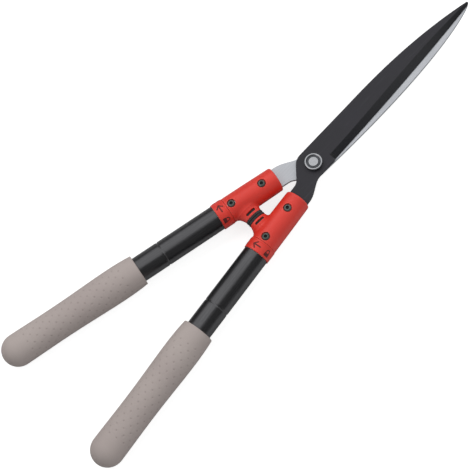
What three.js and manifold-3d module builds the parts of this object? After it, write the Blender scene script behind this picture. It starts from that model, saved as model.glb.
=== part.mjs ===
// Telescopic hedge shears, closed and with the handles pushed in. All lengths are in
// millimetres and +Z points up. X runs along the middle line between the two handles, towards
// the blade tips, and the left handle lies on the +Y side. The blades cross on one pivot bolt,
// and the origin is the middle of the flat top of the pivot cap.
import * as THREE from 'three';
import * as BufferGeometryUtils from 'three/addons/utils/BufferGeometryUtils.js';
import Module from 'manifold-3d';

const wasm = await Module();
wasm.setup();

const radians = THREE.MathUtils.degToRad;
const left = 1;
const right = -1;

// Fits and cuts
const fitGap = 0.3; // clear space between two pieces that meet
const cutOverrun = 2; // how far a cut runs past the face that it opens
const weldDistance = 0.001; // corners closer than this are one corner
const joinOverlap = 0.05; // how far two shapes of one piece run into each other

// How the two halves lie when the shears are closed
const handleHalfAngle = radians(9.86); // from the middle line to each handle's axis
const handleOffset = 10.9; // from the pivot axis to each handle's axis
const bladeLineAngle = radians(3.43); // from the middle line to the line of both blades

// Blades, measured from the pivot along the blade line, and across it
const bladeThickness = 4;
const bladeReach = 280.5;
const tipRound = 1.3;
const upperRicassoDepth = 16.4; // from the blade line to the edge side beside the pivot
const lowerRicassoDepth = 19.3;
const edgeHeelReach = 20.2; // where the cutting edge starts
const upperHeelDepth = 15;
const lowerHeelDepth = 17.8;
const edgeStepLength = 1.8; // how far the outline takes to step in to the cutting edge
const edgeBellyShares = [0.57, 0.8]; // control point, of the reach and of the heel's depth
const upperSpineDepth = 19.65;
const upperSpineShares = [[0.232, 1], [0.346, 0.976], [0.652, 1.212]];
const upperShoulderDepth = 19.6;
const lowerSpineDepth = 15.6;
const lowerSpineShares = [[0.02, 1], [0.74, 1.654], [0.987, 0.219]];
const lowerShoulderDepth = 15;
const shoulderBack = 10.2; // how far behind the pivot the spine turns down to the tang
const shoulderSlope = radians(44.6);
const shoulderRound = 8;
const crotchRound = 5;
const upperHeelCurveBack = 6; // where the ricasso's edge side starts to swing out to the tang
const lowerHeelCurveBack = 4.5;
const upperHeelCurvePull = 11.5;
const lowerHeelCurvePull = 9;
const upperTangCurvePull = 13.5;
const lowerTangCurvePull = 16;
const bevelWidth = 7.8;
const bevelEdgeHeight = 0.7; // what the bevel leaves of the blade's thickness at the edge
const bevelLineShares = [[0.392, 0.36], [0.677, -0.3]]; // of the reach and the heel's depth
const bevelTipShare = 0.995;

// Tangs, measured along the handle's axis from the foot of the pivot
const tangWidth = 25.6;
const upperTangShift = 0.5; // how far the wide part sits outside the handle's axis
const lowerTangShift = 0.9;
const tangCurveReach = 42; // where the wide part starts to swing in to the ricasso
const tangNeckReach = 79;
const tangNeckLength = 4;
const tangEndWidth = 18;
const tangReach = 114;
const tangGap = 0.25;

// Pivot stack
const pivotBoltRadius = 4;
const pivotHoleRadius = 4.2;
const pivotHeadRadius = 9.3;
const pivotHeadHeight = 2.6;
const pivotCapRadius = 10.6;
const pivotCapHeight = 5.1;
const pivotCapWall = 0.9;
const pivotCapEdgeRound = 0.8;
const pivotCapRimWidth = 2;
const pivotCapRimRise = 0.5;
const pivotWasherRadius = 10.5;
const pivotWasherThickness = 1.5;
const springWasherRadius = 8.6;
const springWasherThickness = 0.9;
const springWasherDish = 0.7;
const pivotNutAcross = 13;
const pivotNutHeight = 5.6;
const pivotNutCollarRadius = 5.9;
const pivotNutCollarHeight = 2.2;
const pivotBoltTail = 1; // what stands out of the nut

// Housings, measured along the handle's axis from the foot of the pivot
const housingReach = 46.4;
const housingEnd = 115.2;
const housingFrontRadius = 15.45;
const housingMiddleRadius = 15.85;
const housingBackRadius = 16.05;
const housingMiddleShare = 0.42;
const housingFrontRound = 2.2;
const housingBackRound = 0.5;
const socketReach = 85.3; // where the socket for the inner tube starts

// Bosses and their rubber bumpers, measured back from the pivot and across the middle line
const bossReach = 95.3;
const bossEndRadius = 11.5;
const bossFlareRadius = 15.8;
const bossFlarePullShares = [0.25, 0.55];
const bossEndDepth = 3.1; // from the middle line to the boss's end face
const bossFlareDepth = 13.5;
const bossRootDepth = 19;
const bossHeightShare = 0.68; // how flat the boss is, seen from its end
const bossSlotDepth = 7.6;
const bossSlotLength = 13.2;
const bossSlotWidth = 3.2;
const bumperRadius = 11.8;
const bumperRound = 1.2;
const bumperTongueLength = 12;
const bumperTongueHeight = 4.6;
const bumperTongueDepth = 9.8;
const bumperLugHeight = 12.4;

// Screws and nuts of the housings
const screwFrontReach = 65.8;
const screwRearReach = 108.5;
const screwRadius = 2.5;
const screwHoleRadius = 2.7;
const screwHeadRadius = 4.6;
const screwHeadHeight = 2.6;
const screwHeadFlatShare = 0.55;
const screwSocketAcross = 3;
const screwSocketDepth = 1.7;
const screwSeatRadius = 5.2;
const screwSeatHeight = 13.3;
const screwTailHeight = 16.1;
const nutAcross = 8;
const nutHeight = 2.7;
const nutSeatHeight = 13.3;

// Telescopic tubes, measured along the handle's axis from the foot of the pivot
const innerTubeRadius = 13;
const innerTubeWall = 1.5;
const outerTubeRadius = 15.5;
const outerTubeWall = 1.2;
const collarLength = 14.6;
const collarRadius = 16.5;
const collarRound = 0.6;
const collarLipLength = 1.8;
const collarWall = 1;
const collarGrooveDepth = 0.3;
const collarGrooveLength = 2.4;
const collarGrooveShare = 0.5;
const lockTurn = 90; // degrees that a lock collar turns
const lockStopAngle = 210; // degrees from the top to the stop that ends the turn
const lockStopWidth = 2.4;
const lockStopRadius = 14.3;
const colletSkirtLength = 20;
const colletSlitWidth = 1.2;
const colletSlitShare = 0.75;
const colletSlits = 6;
const slideGap = 0.2; // between a tube and what slides in it or on it
const stopGrooveReach = 206.8;
const stopGrooveDepth = 0.5;
const stopGrooveLength = 2.2;
const handleTravel = 185; // how far each handle pulls out
const endBushLength = 8;
const endBushPlugDepth = 10;
const endBushBore = 6;
const endPlugLength = 6;
const endPlugFlange = 1.2;
const sleeveWallGap = 0.2;
const sleeveFront = 1;

// Grips, measured along the handle's axis from the foot of the pivot
const gripMouthReach = 240.7;
const gripEndReach = 427.7;
const gripMouthRadius = 19.5;
const gripMouthRound = 0.8;
const gripSwellReach = 289;
const gripSwellRadius = 20.9;
const gripWaistReach = 354;
const gripWaistRadius = 19.5;
const gripBallRadius = 20;

// How finely round shapes are divided
const visibleSides = 32;
const hiddenSides = 16;
const screwSides = 12;
const curveSteps = 12;
const gripSteps = 7;
const roundSteps = 2;
const flareSteps = 4;
const ballSteps = 5;
const bevelSteps = 12;
const slotSteps = 8;

// Places that follow from the sizes above
const parting = fitGap / 2; // half of the gap between the blades
const bladeTop = parting + bladeThickness;
const capSeat = bladeTop + fitGap;
const capTop = capSeat + pivotCapHeight - pivotCapRimRise;
const collarReach = housingEnd + fitGap;
const outerTubeReach = collarReach + collarLength + fitGap;
const outerTubeBore = outerTubeRadius - outerTubeWall;
const innerTubeBore = innerTubeRadius - innerTubeWall;
const endBushReach = stopGrooveReach + stopGrooveLength / 2 + handleTravel + fitGap;
const innerTubeEnd = endBushReach + endBushLength - fitGap;
const endPlugReach = endBushReach + endBushLength + fitGap;
const outerTubeEnd = endPlugReach + endPlugLength;
const gripBoreEnd = outerTubeEnd + endPlugFlange + fitGap * 2;

const materials = {
  blackBlade: new THREE.MeshStandardMaterial({ color: 0x3a3a3e, roughness: 0.55, metalness: 0.3 }),
  satinSteel: new THREE.MeshStandardMaterial({ color: 0xb4b8bb, roughness: 0.4, metalness: 0.8 }),
  chrome: new THREE.MeshStandardMaterial({ color: 0xd8d8d8, roughness: 0.15, metalness: 1 }),
  zincSteel: new THREE.MeshStandardMaterial({ color: 0x9a9b9c, roughness: 0.45, metalness: 0.8 }),
  redPlastic: new THREE.MeshStandardMaterial({ color: 0xd23a30, roughness: 0.45, metalness: 0 }),
  blackScrew: new THREE.MeshStandardMaterial({ color: 0x2c3332, roughness: 0.4, metalness: 0.6 }),
  blackRubber: new THREE.MeshStandardMaterial({ color: 0x222625, roughness: 0.8, metalness: 0 }),
  blackTube: new THREE.MeshStandardMaterial({ color: 0x2f3031, roughness: 0.45, metalness: 0.3 }),
  aluminium: new THREE.MeshStandardMaterial({ color: 0xb9bbbd, roughness: 0.35, metalness: 0.9 }),
  palePlastic: new THREE.MeshStandardMaterial({ color: 0xcfcfca, roughness: 0.5, metalness: 0 }),
  greyGrip: new THREE.MeshStandardMaterial({ color: 0xa59b98, roughness: 0.75, metalness: 0 }),
};

// Make a closed geometry a solid that can be cut and joined
function toSolid(geometry) {
  const bare = geometry.index ? geometry.toNonIndexed() : geometry.clone();
  bare.deleteAttribute('normal');
  bare.deleteAttribute('uv');
  const merged = BufferGeometryUtils.mergeVertices(bare, weldDistance);
  const corners = merged.index.array;
  const triVerts = [];
  for (let i = 0; i < corners.length; i += 3) {
    const [a, b, c] = [corners[i], corners[i + 1], corners[i + 2]];
    if (a !== b && b !== c && c !== a) triVerts.push(a, b, c);
  }
  const mesh = new wasm.Mesh({
    numProp: 3,
    vertProperties: new Float32Array(merged.attributes.position.array),
    triVerts: new Uint32Array(triVerts),
  });
  return new wasm.Manifold(mesh);
}

// Make a named mesh from a solid
function piece(name, solid, material) {
  const { vertProperties, triVerts } = solid.getMesh();
  const geometry = new THREE.BufferGeometry();
  geometry.setAttribute('position', new THREE.BufferAttribute(new Float32Array(vertProperties), 3));
  geometry.setIndex(new THREE.BufferAttribute(new Uint32Array(triVerts), 1));
  geometry.computeVertexNormals();
  const mesh = new THREE.Mesh(geometry, material);
  mesh.name = name;
  return mesh;
}

// Turn a profile of [radius, place] pairs about the X axis
function turnedAlongX(profile, sides) {
  const points = profile.map(([radius, place]) => new THREE.Vector2(radius, place));
  return toSolid(new THREE.LatheGeometry(points, sides).rotateZ(-Math.PI / 2));
}

// Turn a profile of [radius, height] pairs about the Z axis
function turnedAlongZ(profile, sides) {
  const points = profile.map(([radius, height]) => new THREE.Vector2(radius, height));
  return toSolid(new THREE.LatheGeometry(points, sides).rotateX(Math.PI / 2));
}

// A round rod along Z between two heights
function rodAlongZ(radius, bottom, top, sides) {
  return turnedAlongZ([[0, bottom], [radius, bottom], [radius, top], [0, top]], sides);
}

// A box between two corners
function block(low, high) {
  const size = high.map((value, axis) => value - low[axis]);
  const middle = high.map((value, axis) => (value + low[axis]) / 2);
  return toSolid(new THREE.BoxGeometry(...size).translate(...middle));
}

// A six-sided prism along Z, given by the width across its flats
function hexagon(across, bottom, top) {
  const radius = across / 2 / Math.cos(Math.PI / 6);
  return rodAlongZ(radius, bottom, top, 6);
}

// Points of a quarter round in a turned profile, from one angle to another
function cornerArc(radius, place, round, from, to) {
  const points = [];
  for (let i = 0; i <= roundSteps; i++) {
    const angle = from + ((to - from) * i) / roundSteps;
    points.push([radius + round * Math.cos(angle), place + round * Math.sin(angle)]);
  }
  return points;
}

// The frame of a handle: x along its axis away from the pivot, z up
function handleFrame(side) {
  const turn = new THREE.Matrix4().makeRotationZ(Math.PI - side * handleHalfAngle);
  return turn.multiply(new THREE.Matrix4().makeTranslation(0, -side * handleOffset, 0));
}

// A point given along a handle's axis and outwards from it
function onTang(side, along, out) {
  const point = new THREE.Vector3(along, -side * out, 0).applyMatrix4(handleFrame(side));
  return new THREE.Vector2(point.x, point.y);
}

// A point given along the blade line and across it, with the blade's spine on the plus side
function onBlade(side, along, depth) {
  return new THREE.Vector2(along, -side * depth).rotateAround(new THREE.Vector2(), bladeLineAngle);
}

// Where two lines cross, each given by two points
function crossing(a, b, c, d) {
  const first = b.clone().sub(a);
  const second = d.clone().sub(c);
  const share = c.clone().sub(a).cross(second) / first.cross(second);
  return a.clone().addScaledVector(first, share);
}

// Draw to a corner that is rounded over a reach on each side
function roundCorner(shape, before, corner, after, reach) {
  const start = corner.clone().add(before.clone().sub(corner).setLength(reach));
  const end = corner.clone().add(after.clone().sub(corner).setLength(reach));
  shape.lineTo(start.x, start.y);
  shape.quadraticCurveTo(corner.x, corner.y, end.x, end.y);
}

// The sizes that the upper blade, of the right handle, doesn't share with the lower one
const upperSizes = {
  ricassoDepth: upperRicassoDepth,
  heelDepth: upperHeelDepth,
  spineDepth: upperSpineDepth,
  spineShares: upperSpineShares,
  shoulderDepth: upperShoulderDepth,
  heelCurveBack: upperHeelCurveBack,
  heelCurvePull: upperHeelCurvePull,
  tangCurvePull: upperTangCurvePull,
  tangShift: upperTangShift,
};
const lowerSizes = {
  ricassoDepth: lowerRicassoDepth,
  heelDepth: lowerHeelDepth,
  spineDepth: lowerSpineDepth,
  spineShares: lowerSpineShares,
  shoulderDepth: lowerShoulderDepth,
  heelCurveBack: lowerHeelCurveBack,
  heelCurvePull: lowerHeelCurvePull,
  tangCurvePull: lowerTangCurvePull,
  tangShift: lowerTangShift,
};
const bladeSizes = (side) => (side === right ? upperSizes : lowerSizes);

// The cutting edge and the inner line of its bevel
function edgeCurve(side) {
  const { heelDepth } = bladeSizes(side);
  const [alongShare, depthShare] = edgeBellyShares;
  return new THREE.QuadraticBezierCurve(
    onBlade(side, edgeHeelReach, -heelDepth),
    onBlade(side, bladeReach * alongShare, -heelDepth * depthShare),
    onBlade(side, bladeReach - tipRound, -tipRound / 2),
  );
}

function bevelCurve(side) {
  const { heelDepth } = bladeSizes(side);
  const pulls = bevelLineShares.map(([along, depth]) =>
    onBlade(side, bladeReach * along, -heelDepth * depth));
  return new THREE.CubicBezierCurve(
    onBlade(side, edgeHeelReach, bevelWidth - heelDepth),
    ...pulls,
    onBlade(side, bladeReach * bevelTipShare, tipRound / 3),
  );
}

// The outline of a blade with its tang
function bladeOutline(side) {
  const sizes = bladeSizes(side);
  const tang = (along, out) => onTang(side, along, out);
  const blade = (along, depth) => onBlade(side, along, depth);
  const inner = sizes.tangShift - tangWidth / 2;
  const outer = sizes.tangShift + tangWidth / 2;
  const shape = new THREE.Shape();
  const lineTo = (point) => shape.lineTo(point.x, point.y);

  const start = tang(tangReach, -tangEndWidth / 2);
  shape.moveTo(start.x, start.y);
  lineTo(tang(tangReach, tangEndWidth / 2));
  lineTo(tang(tangNeckReach + tangNeckLength, tangEndWidth / 2));
  lineTo(tang(tangNeckReach, outer));

  lineTo(tang(tangCurveReach, outer));
  const outerPull = tang(tangCurveReach - sizes.tangCurvePull, outer);
  const heelPull = blade(-sizes.heelCurveBack - sizes.heelCurvePull, -sizes.ricassoDepth);
  const heelEnd = blade(-sizes.heelCurveBack, -sizes.ricassoDepth);
  shape.bezierCurveTo(outerPull.x, outerPull.y, heelPull.x, heelPull.y, heelEnd.x, heelEnd.y);
  lineTo(blade(edgeHeelReach - edgeStepLength, -sizes.ricassoDepth));

  edgeCurve(side).getPoints(curveSteps).forEach(lineTo);
  const tip = blade(bladeReach, 0);
  const tipEnd = blade(bladeReach - tipRound, tipRound);
  shape.quadraticCurveTo(tip.x, tip.y, tipEnd.x, tipEnd.y);
  const [spineStart, nearPull, farPull] = sizes.spineShares.map(([along, depth]) =>
    blade(bladeReach * along, sizes.spineDepth * depth));
  shape.bezierCurveTo(farPull.x, farPull.y, nearPull.x, nearPull.y, spineStart.x, spineStart.y);

  const shoulder = blade(-shoulderBack, sizes.shoulderDepth);
  const drop = new THREE.Vector2(-1, side * Math.tan(shoulderSlope));
  const slopeEnd = shoulder.clone().add(drop.rotateAround(new THREE.Vector2(), bladeLineAngle));
  const tangInner = tang(tangNeckReach, inner);
  const crotch = crossing(shoulder, slopeEnd, tangInner, tang(tangCurveReach, inner));
  roundCorner(shape, spineStart, shoulder, crotch, shoulderRound);
  roundCorner(shape, shoulder, crotch, tangInner, crotchRound);
  lineTo(tangInner);
  lineTo(tang(tangNeckReach + tangNeckLength, -tangEndWidth / 2));
  return shape;
}

// What the grinding wheel takes off along the cutting edge. The flat face is at height zero,
// and the bevel falls from the full thickness to the edge.
function bevelCut(side) {
  const edge = edgeCurve(side).getPoints(bevelSteps);
  const line = bevelCurve(side).getPoints(bevelSteps);
  const above = bladeThickness + cutOverrun;
  const drop = bladeThickness - bevelEdgeHeight;
  const positions = [];
  edge.forEach((point, i) => {
    const across = point.clone().sub(line[i]);
    const past = 1 + cutOverrun / across.length();
    const far = line[i].clone().addScaledVector(across, past);
    positions.push(line[i].x, line[i].y, above);
    positions.push(line[i].x, line[i].y, bladeThickness);
    positions.push(far.x, far.y, bladeThickness - drop * past);
    positions.push(far.x, far.y, above);
  });
  const index = [0, 1, 2, 0, 2, 3];
  for (let i = 0; i < bevelSteps; i++) {
    for (let j = 0; j < 4; j++) {
      const [a, b] = [i * 4 + j, i * 4 + ((j + 1) % 4)];
      index.push(a, a + 4, b, b, a + 4, b + 4);
    }
  }
  const last = bevelSteps * 4;
  index.push(last, last + 2, last + 1, last, last + 3, last + 2);
  if (side === left) index.reverse();
  const geometry = new THREE.BufferGeometry();
  geometry.setAttribute('position', new THREE.Float32BufferAttribute(positions, 3));
  geometry.setIndex(index);
  return toSolid(geometry);
}

// A blade with its flat face at height zero and its bevelled face above
function bladeSolid(side) {
  const plate = new THREE.ExtrudeGeometry(bladeOutline(side), {
    depth: bladeThickness,
    bevelEnabled: false,
    curveSegments: curveSteps,
  });
  let solid = toSolid(plate).subtract(bevelCut(side));
  const above = bladeThickness + cutOverrun;
  solid = solid.subtract(rodAlongZ(pivotHoleRadius, -cutOverrun, above, hiddenSides));
  for (const reach of [screwFrontReach, screwRearReach]) {
    const hole = rodAlongZ(screwHoleRadius, -cutOverrun, above, screwSides);
    solid = solid.subtract(hole.transform([
      ...new THREE.Matrix4().makeTranslation(reach, 0, 0).premultiply(handleFrame(side)).elements,
    ]));
  }
  return solid;
}

function upperBlade() {
  return bladeSolid(right).translate([0, 0, parting]);
}

// The lower blade is made upside down, so that its bevel faces down
function lowerBlade() {
  return bladeSolid(left).mirror([0, 0, 1]).translate([0, 0, -parting]);
}

// Pivot pieces, from the cap down to the nut
function pivotCap() {
  const top = capSeat + pivotCapHeight;
  const inside = capSeat + pivotHeadHeight + fitGap;
  const fieldRadius = pivotCapRadius - pivotCapRimWidth;
  return turnedAlongZ([
    [0, inside],
    [pivotCapRadius - pivotCapWall, inside],
    [pivotCapRadius - pivotCapWall, capSeat],
    [pivotCapRadius, capSeat],
    ...cornerArc(pivotCapRadius - pivotCapEdgeRound, top - pivotCapEdgeRound, pivotCapEdgeRound,
      0, Math.PI / 2),
    [fieldRadius + pivotCapRimRise, top],
    [fieldRadius, capTop],
    [0, capTop],
  ], visibleSides);
}

function pivotBolt() {
  const tail = -bladeTop - fitGap - pivotWasherThickness - fitGap - springWasherThickness
    - springWasherDish - fitGap - pivotNutHeight - pivotNutCollarHeight - pivotBoltTail;
  const bottom = capSeat;
  const chamfer = pivotBoltTail / 2;
  return turnedAlongZ([
    [0, tail],
    [pivotBoltRadius - chamfer, tail],
    [pivotBoltRadius, tail + chamfer],
    [pivotBoltRadius, bottom],
    [pivotHeadRadius, bottom],
    [pivotHeadRadius, bottom + pivotHeadHeight - chamfer],
    [pivotHeadRadius - chamfer, bottom + pivotHeadHeight],
    [0, bottom + pivotHeadHeight],
  ], hiddenSides);
}

function pivotWasher() {
  const top = -bladeTop - fitGap;
  const bottom = top - pivotWasherThickness;
  return turnedAlongZ([
    [pivotHoleRadius, bottom],
    [pivotWasherRadius, bottom],
    [pivotWasherRadius, top],
    [pivotHoleRadius, top],
    [pivotHoleRadius, bottom],
  ], hiddenSides);
}

function pivotSpringWasher() {
  const top = -bladeTop - fitGap - pivotWasherThickness - fitGap;
  const bottom = top - springWasherThickness;
  return turnedAlongZ([
    [pivotHoleRadius, bottom - springWasherDish],
    [springWasherRadius, bottom],
    [springWasherRadius, top],
    [pivotHoleRadius, top - springWasherDish],
    [pivotHoleRadius, bottom - springWasherDish],
  ], hiddenSides);
}

function pivotNut() {
  const top = -bladeTop - fitGap - pivotWasherThickness - fitGap - springWasherThickness
    - springWasherDish - fitGap;
  const bottom = top - pivotNutHeight;
  const lowest = bottom - pivotNutCollarHeight;
  const lock = rodAlongZ(pivotNutCollarRadius, lowest, bottom + joinOverlap, hiddenSides);
  const bore = rodAlongZ(pivotHoleRadius, lowest - cutOverrun, top + cutOverrun, hiddenSides);
  return hexagon(pivotNutAcross, bottom, top).add(lock).subtract(bore);
}

// A boss in the shears' own frame, with its end face beside the middle line
function bossSolid(side) {
  const [nearShare, depthShare] = bossFlarePullShares;
  const flare = new THREE.QuadraticBezierCurve(
    new THREE.Vector2(bossEndRadius, bossEndDepth),
    new THREE.Vector2(
      bossEndRadius + (bossFlareRadius - bossEndRadius) * nearShare,
      bossEndDepth + (bossFlareDepth - bossEndDepth) * depthShare,
    ),
    new THREE.Vector2(bossFlareRadius, bossFlareDepth),
  );
  const profile = [
    new THREE.Vector2(0, bossEndDepth),
    ...flare.getPoints(flareSteps),
    new THREE.Vector2(bossFlareRadius, bossRootDepth),
    new THREE.Vector2(0, bossRootDepth),
  ];
  const boss = new THREE.LatheGeometry(profile, visibleSides).scale(1, 1, bossHeightShare);
  if (side === right) boss.rotateZ(Math.PI);
  return toSolid(boss.translate(-bossReach, 0, 0));
}

// The pocket for the bumper's tongue and the slot that shows its lug
function bossCuts(side) {
  const halfTongue = bumperTongueLength / 2 + slideGap;
  const halfHeight = bumperTongueHeight / 2 + slideGap;
  const pocketEnd = bumperTongueDepth + slideGap;
  const pocket = block(
    [-bossReach - halfTongue, -cutOverrun, -halfHeight],
    [-bossReach + halfTongue, pocketEnd, halfHeight],
  );
  const halfSlot = bossSlotLength / 2;
  const slot = block(
    [-bossReach - halfSlot, bossSlotDepth - bossSlotWidth / 2, -housingBackRadius],
    [-bossReach + halfSlot, bossSlotDepth + bossSlotWidth / 2, housingBackRadius],
  );
  const cuts = pocket.add(slot);
  return side === left ? cuts : cuts.mirror([0, 1, 0]);
}

// The slot that the tang slides into, in the handle's frame
function tangSlot(side) {
  const { tangShift } = bladeSizes(side);
  const outer = tangShift + tangWidth / 2 + tangGap;
  const inner = tangShift - tangWidth / 2 - tangGap;
  const [low, high] = side === left ? [-bladeTop, -parting] : [parting, bladeTop];
  const [near, far] = side === left ? [-outer, -inner] : [inner, outer];
  return block(
    [housingReach - cutOverrun, near, low - tangGap],
    [socketReach + cutOverrun, far, high + tangGap],
  );
}

function housing(side) {
  const middle = housingReach + (housingEnd - housingReach) * housingMiddleShare;
  const shell = turnedAlongX([
    [0, housingReach],
    ...cornerArc(housingFrontRadius - housingFrontRound, housingReach + housingFrontRound,
      housingFrontRound, -Math.PI / 2, 0),
    [housingMiddleRadius, middle],
    ...cornerArc(housingBackRadius - housingBackRound, housingEnd - housingBackRound,
      housingBackRound, 0, Math.PI / 2),
    [0, housingEnd],
  ], visibleSides);
  const toHandle = [...handleFrame(side).invert().elements];
  const socket = turnedAlongX([
    [0, socketReach - fitGap],
    [innerTubeRadius + slideGap, socketReach - fitGap],
    [innerTubeRadius + slideGap, housingEnd + cutOverrun],
    [0, housingEnd + cutOverrun],
  ], hiddenSides);
  let solid = shell
    .add(bossSolid(side).transform(toHandle))
    .subtract(bossCuts(side).transform(toHandle))
    .subtract(tangSlot(side))
    .subtract(socket);
  for (const reach of [screwFrontReach, screwRearReach]) {
    const below = -housingBackRadius - cutOverrun;
    const above = housingBackRadius + cutOverrun;
    const cuts = rodAlongZ(screwHoleRadius, below, above, screwSides)
      .add(rodAlongZ(screwSeatRadius, screwSeatHeight, above, screwSides))
      .add(hexagon(nutAcross + fitGap * 2, below, -nutSeatHeight));
    solid = solid.subtract(cuts.translate([reach, 0, 0]));
  }
  return solid;
}

function bumper(side) {
  const face = parting;
  const back = bossEndDepth - slideGap;
  const pad = new THREE.LatheGeometry([
    new THREE.Vector2(0, face),
    ...cornerArc(bumperRadius - bumperRound, face + bumperRound, bumperRound, -Math.PI / 2, 0)
      .map(([radius, depth]) => new THREE.Vector2(radius, depth)),
    new THREE.Vector2(bumperRadius, back),
    new THREE.Vector2(0, back),
  ], visibleSides).scale(1, 1, bossHeightShare);
  const halfTongue = bumperTongueLength / 2;
  const tongue = block(
    [-halfTongue, back - joinOverlap, -bumperTongueHeight / 2],
    [halfTongue, bumperTongueDepth, bumperTongueHeight / 2],
  );
  const lugHalf = bossSlotWidth / 2 - slideGap;
  const lug = block(
    [-halfTongue, bossSlotDepth - lugHalf, -bumperLugHeight / 2],
    [halfTongue, bossSlotDepth + lugHalf, bumperLugHeight / 2],
  );
  const solid = toSolid(pad).add(tongue).add(lug).translate([-bossReach, 0, 0]);
  return side === left ? solid : solid.mirror([0, 1, 0]);
}

// Screws and nuts, standing on the handle's axis
function screw(reach) {
  const top = screwSeatHeight + screwHeadHeight;
  const solid = turnedAlongZ([
    [0, -screwTailHeight],
    [screwRadius, -screwTailHeight],
    [screwRadius, screwSeatHeight + slideGap / 2],
    [screwHeadRadius, screwSeatHeight + slideGap / 2],
    [screwHeadRadius, screwSeatHeight + screwHeadHeight * screwHeadFlatShare / 2],
    [screwHeadRadius * (1 + screwHeadFlatShare) / 2, top - screwHeadHeight * screwHeadFlatShare / 2],
    [screwHeadRadius * screwHeadFlatShare, top],
    [0, top],
  ], screwSides);
  const socket = hexagon(screwSocketAcross, top - screwSocketDepth, top + cutOverrun);
  return solid.subtract(socket).translate([reach, 0, 0]);
}

function nut(reach) {
  const top = -nutSeatHeight - fitGap / 2;
  const bore = rodAlongZ(screwHoleRadius, top - nutHeight - cutOverrun, top + cutOverrun, screwSides);
  return hexagon(nutAcross, top - nutHeight, top).subtract(bore).translate([reach, 0, 0]);
}

// The filler between the tang and the inner tube
function tangSleeve(side) {
  const radius = innerTubeBore - sleeveWallGap;
  const front = socketReach + sleeveFront;
  const half = tangEndWidth / 2 + tangGap;
  const [low, high] = side === left ? [-bladeTop, -parting] : [parting, bladeTop];
  const body = turnedAlongX([
    [0, front],
    [radius, front],
    [radius, housingEnd],
    [0, housingEnd],
  ], hiddenSides);
  const slot = block(
    [front - cutOverrun, -half, low - tangGap],
    [housingEnd + cutOverrun, half, high + tangGap],
  );
  const hole = rodAlongZ(screwHoleRadius, -innerTubeRadius, innerTubeRadius, screwSides);
  return body.subtract(slot).subtract(hole.translate([screwRearReach, 0, 0]));
}

function innerTube() {
  const solid = turnedAlongX([
    [innerTubeBore, socketReach],
    [innerTubeRadius, socketReach],
    [innerTubeRadius, innerTubeEnd],
    [innerTubeBore, innerTubeEnd],
    [innerTubeBore, socketReach],
  ], hiddenSides);
  const reach = innerTubeRadius + cutOverrun;
  const hole = rodAlongZ(screwHoleRadius, -reach, reach, screwSides);
  return solid.subtract(hole.translate([screwRearReach, 0, 0]));
}

// The guide at the inner tube's end, which meets the rolled groove when the handle is out
function endBush() {
  const plugRadius = innerTubeBore - slideGap;
  const guideRadius = outerTubeBore - slideGap;
  const tubeEnd = innerTubeEnd + fitGap;
  const end = tubeEnd + fitGap;
  const rim = innerTubeRadius + slideGap;
  return turnedAlongX([
    [endBushBore, innerTubeEnd - endBushPlugDepth],
    [plugRadius, innerTubeEnd - endBushPlugDepth],
    [plugRadius, tubeEnd],
    [rim, tubeEnd],
    [rim, endBushReach],
    [guideRadius, endBushReach],
    [guideRadius, end],
    [endBushBore, end],
    [endBushBore, innerTubeEnd - endBushPlugDepth],
  ], hiddenSides);
}

// The slit clamp ring at the outer tube's front end
function collet() {
  const bore = innerTubeRadius + slideGap;
  const ring = collarRadius - collarWall - slideGap;
  const skirt = outerTubeBore - slideGap;
  const front = collarReach + collarLipLength + fitGap;
  const shoulder = outerTubeReach - fitGap;
  const ribMiddle = collarReach + collarLength * collarGrooveShare;
  const ribHalf = collarGrooveLength / 2 - slideGap;
  const solid = turnedAlongX([
    [bore, front],
    [ring, front],
    [ring, ribMiddle - ribHalf],
    [ring + collarGrooveDepth, ribMiddle - ribHalf],
    [ring + collarGrooveDepth, ribMiddle + ribHalf],
    [ring, ribMiddle + ribHalf],
    [ring, shoulder],
    [skirt, shoulder],
    [skirt, shoulder + colletSkirtLength],
    [bore, shoulder + colletSkirtLength],
    [bore, front],
  ], hiddenSides);
  const slitEnd = front + (shoulder - front) * colletSlitShare;
  const slit = block(
    [front - cutOverrun, -colletSlitWidth / 2, 0],
    [slitEnd, colletSlitWidth / 2, collarRadius],
  );
  let cut = solid;
  for (let i = 0; i < colletSlits; i++) {
    cut = cut.subtract(slit.rotate([(360 * i) / colletSlits, 0, 0]));
  }
  const stop = block(
    [front - collarLipLength, -lockStopWidth / 2, bore],
    [front + joinOverlap, lockStopWidth / 2, lockStopRadius],
  );
  return cut.add(stop.rotate([lockStopAngle, 0, 0]));
}

// The slot in the collar's lip, in which the collet's stop lets it make a quarter turn
function lockSlot(side) {
  const radius = lockStopRadius + fitGap;
  const end = Math.asin((lockStopWidth / 2 + slideGap) / innerTubeRadius);
  const half = radians(lockTurn / 2) + end;
  const sector = new THREE.Shape();
  sector.moveTo(0, 0);
  sector.lineTo(radius * Math.sin(half), radius * Math.cos(half));
  sector.absarc(0, 0, radius, Math.PI / 2 - half, Math.PI / 2 + half, false);
  const wedge = new THREE.ExtrudeGeometry(sector, {
    depth: collarLipLength + cutOverrun * 2,
    bevelEnabled: false,
    curveSegments: slotSteps,
  });
  const alongHandle = new THREE.Matrix4().makeBasis(
    new THREE.Vector3(0, 1, 0),
    new THREE.Vector3(0, 0, 1),
    new THREE.Vector3(1, 0, 0),
  );
  return toSolid(wedge.applyMatrix4(alongHandle))
    .rotate([lockStopAngle - (side * lockTurn) / 2, 0, 0])
    .translate([collarReach - cutOverrun, 0, 0]);
}

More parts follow.
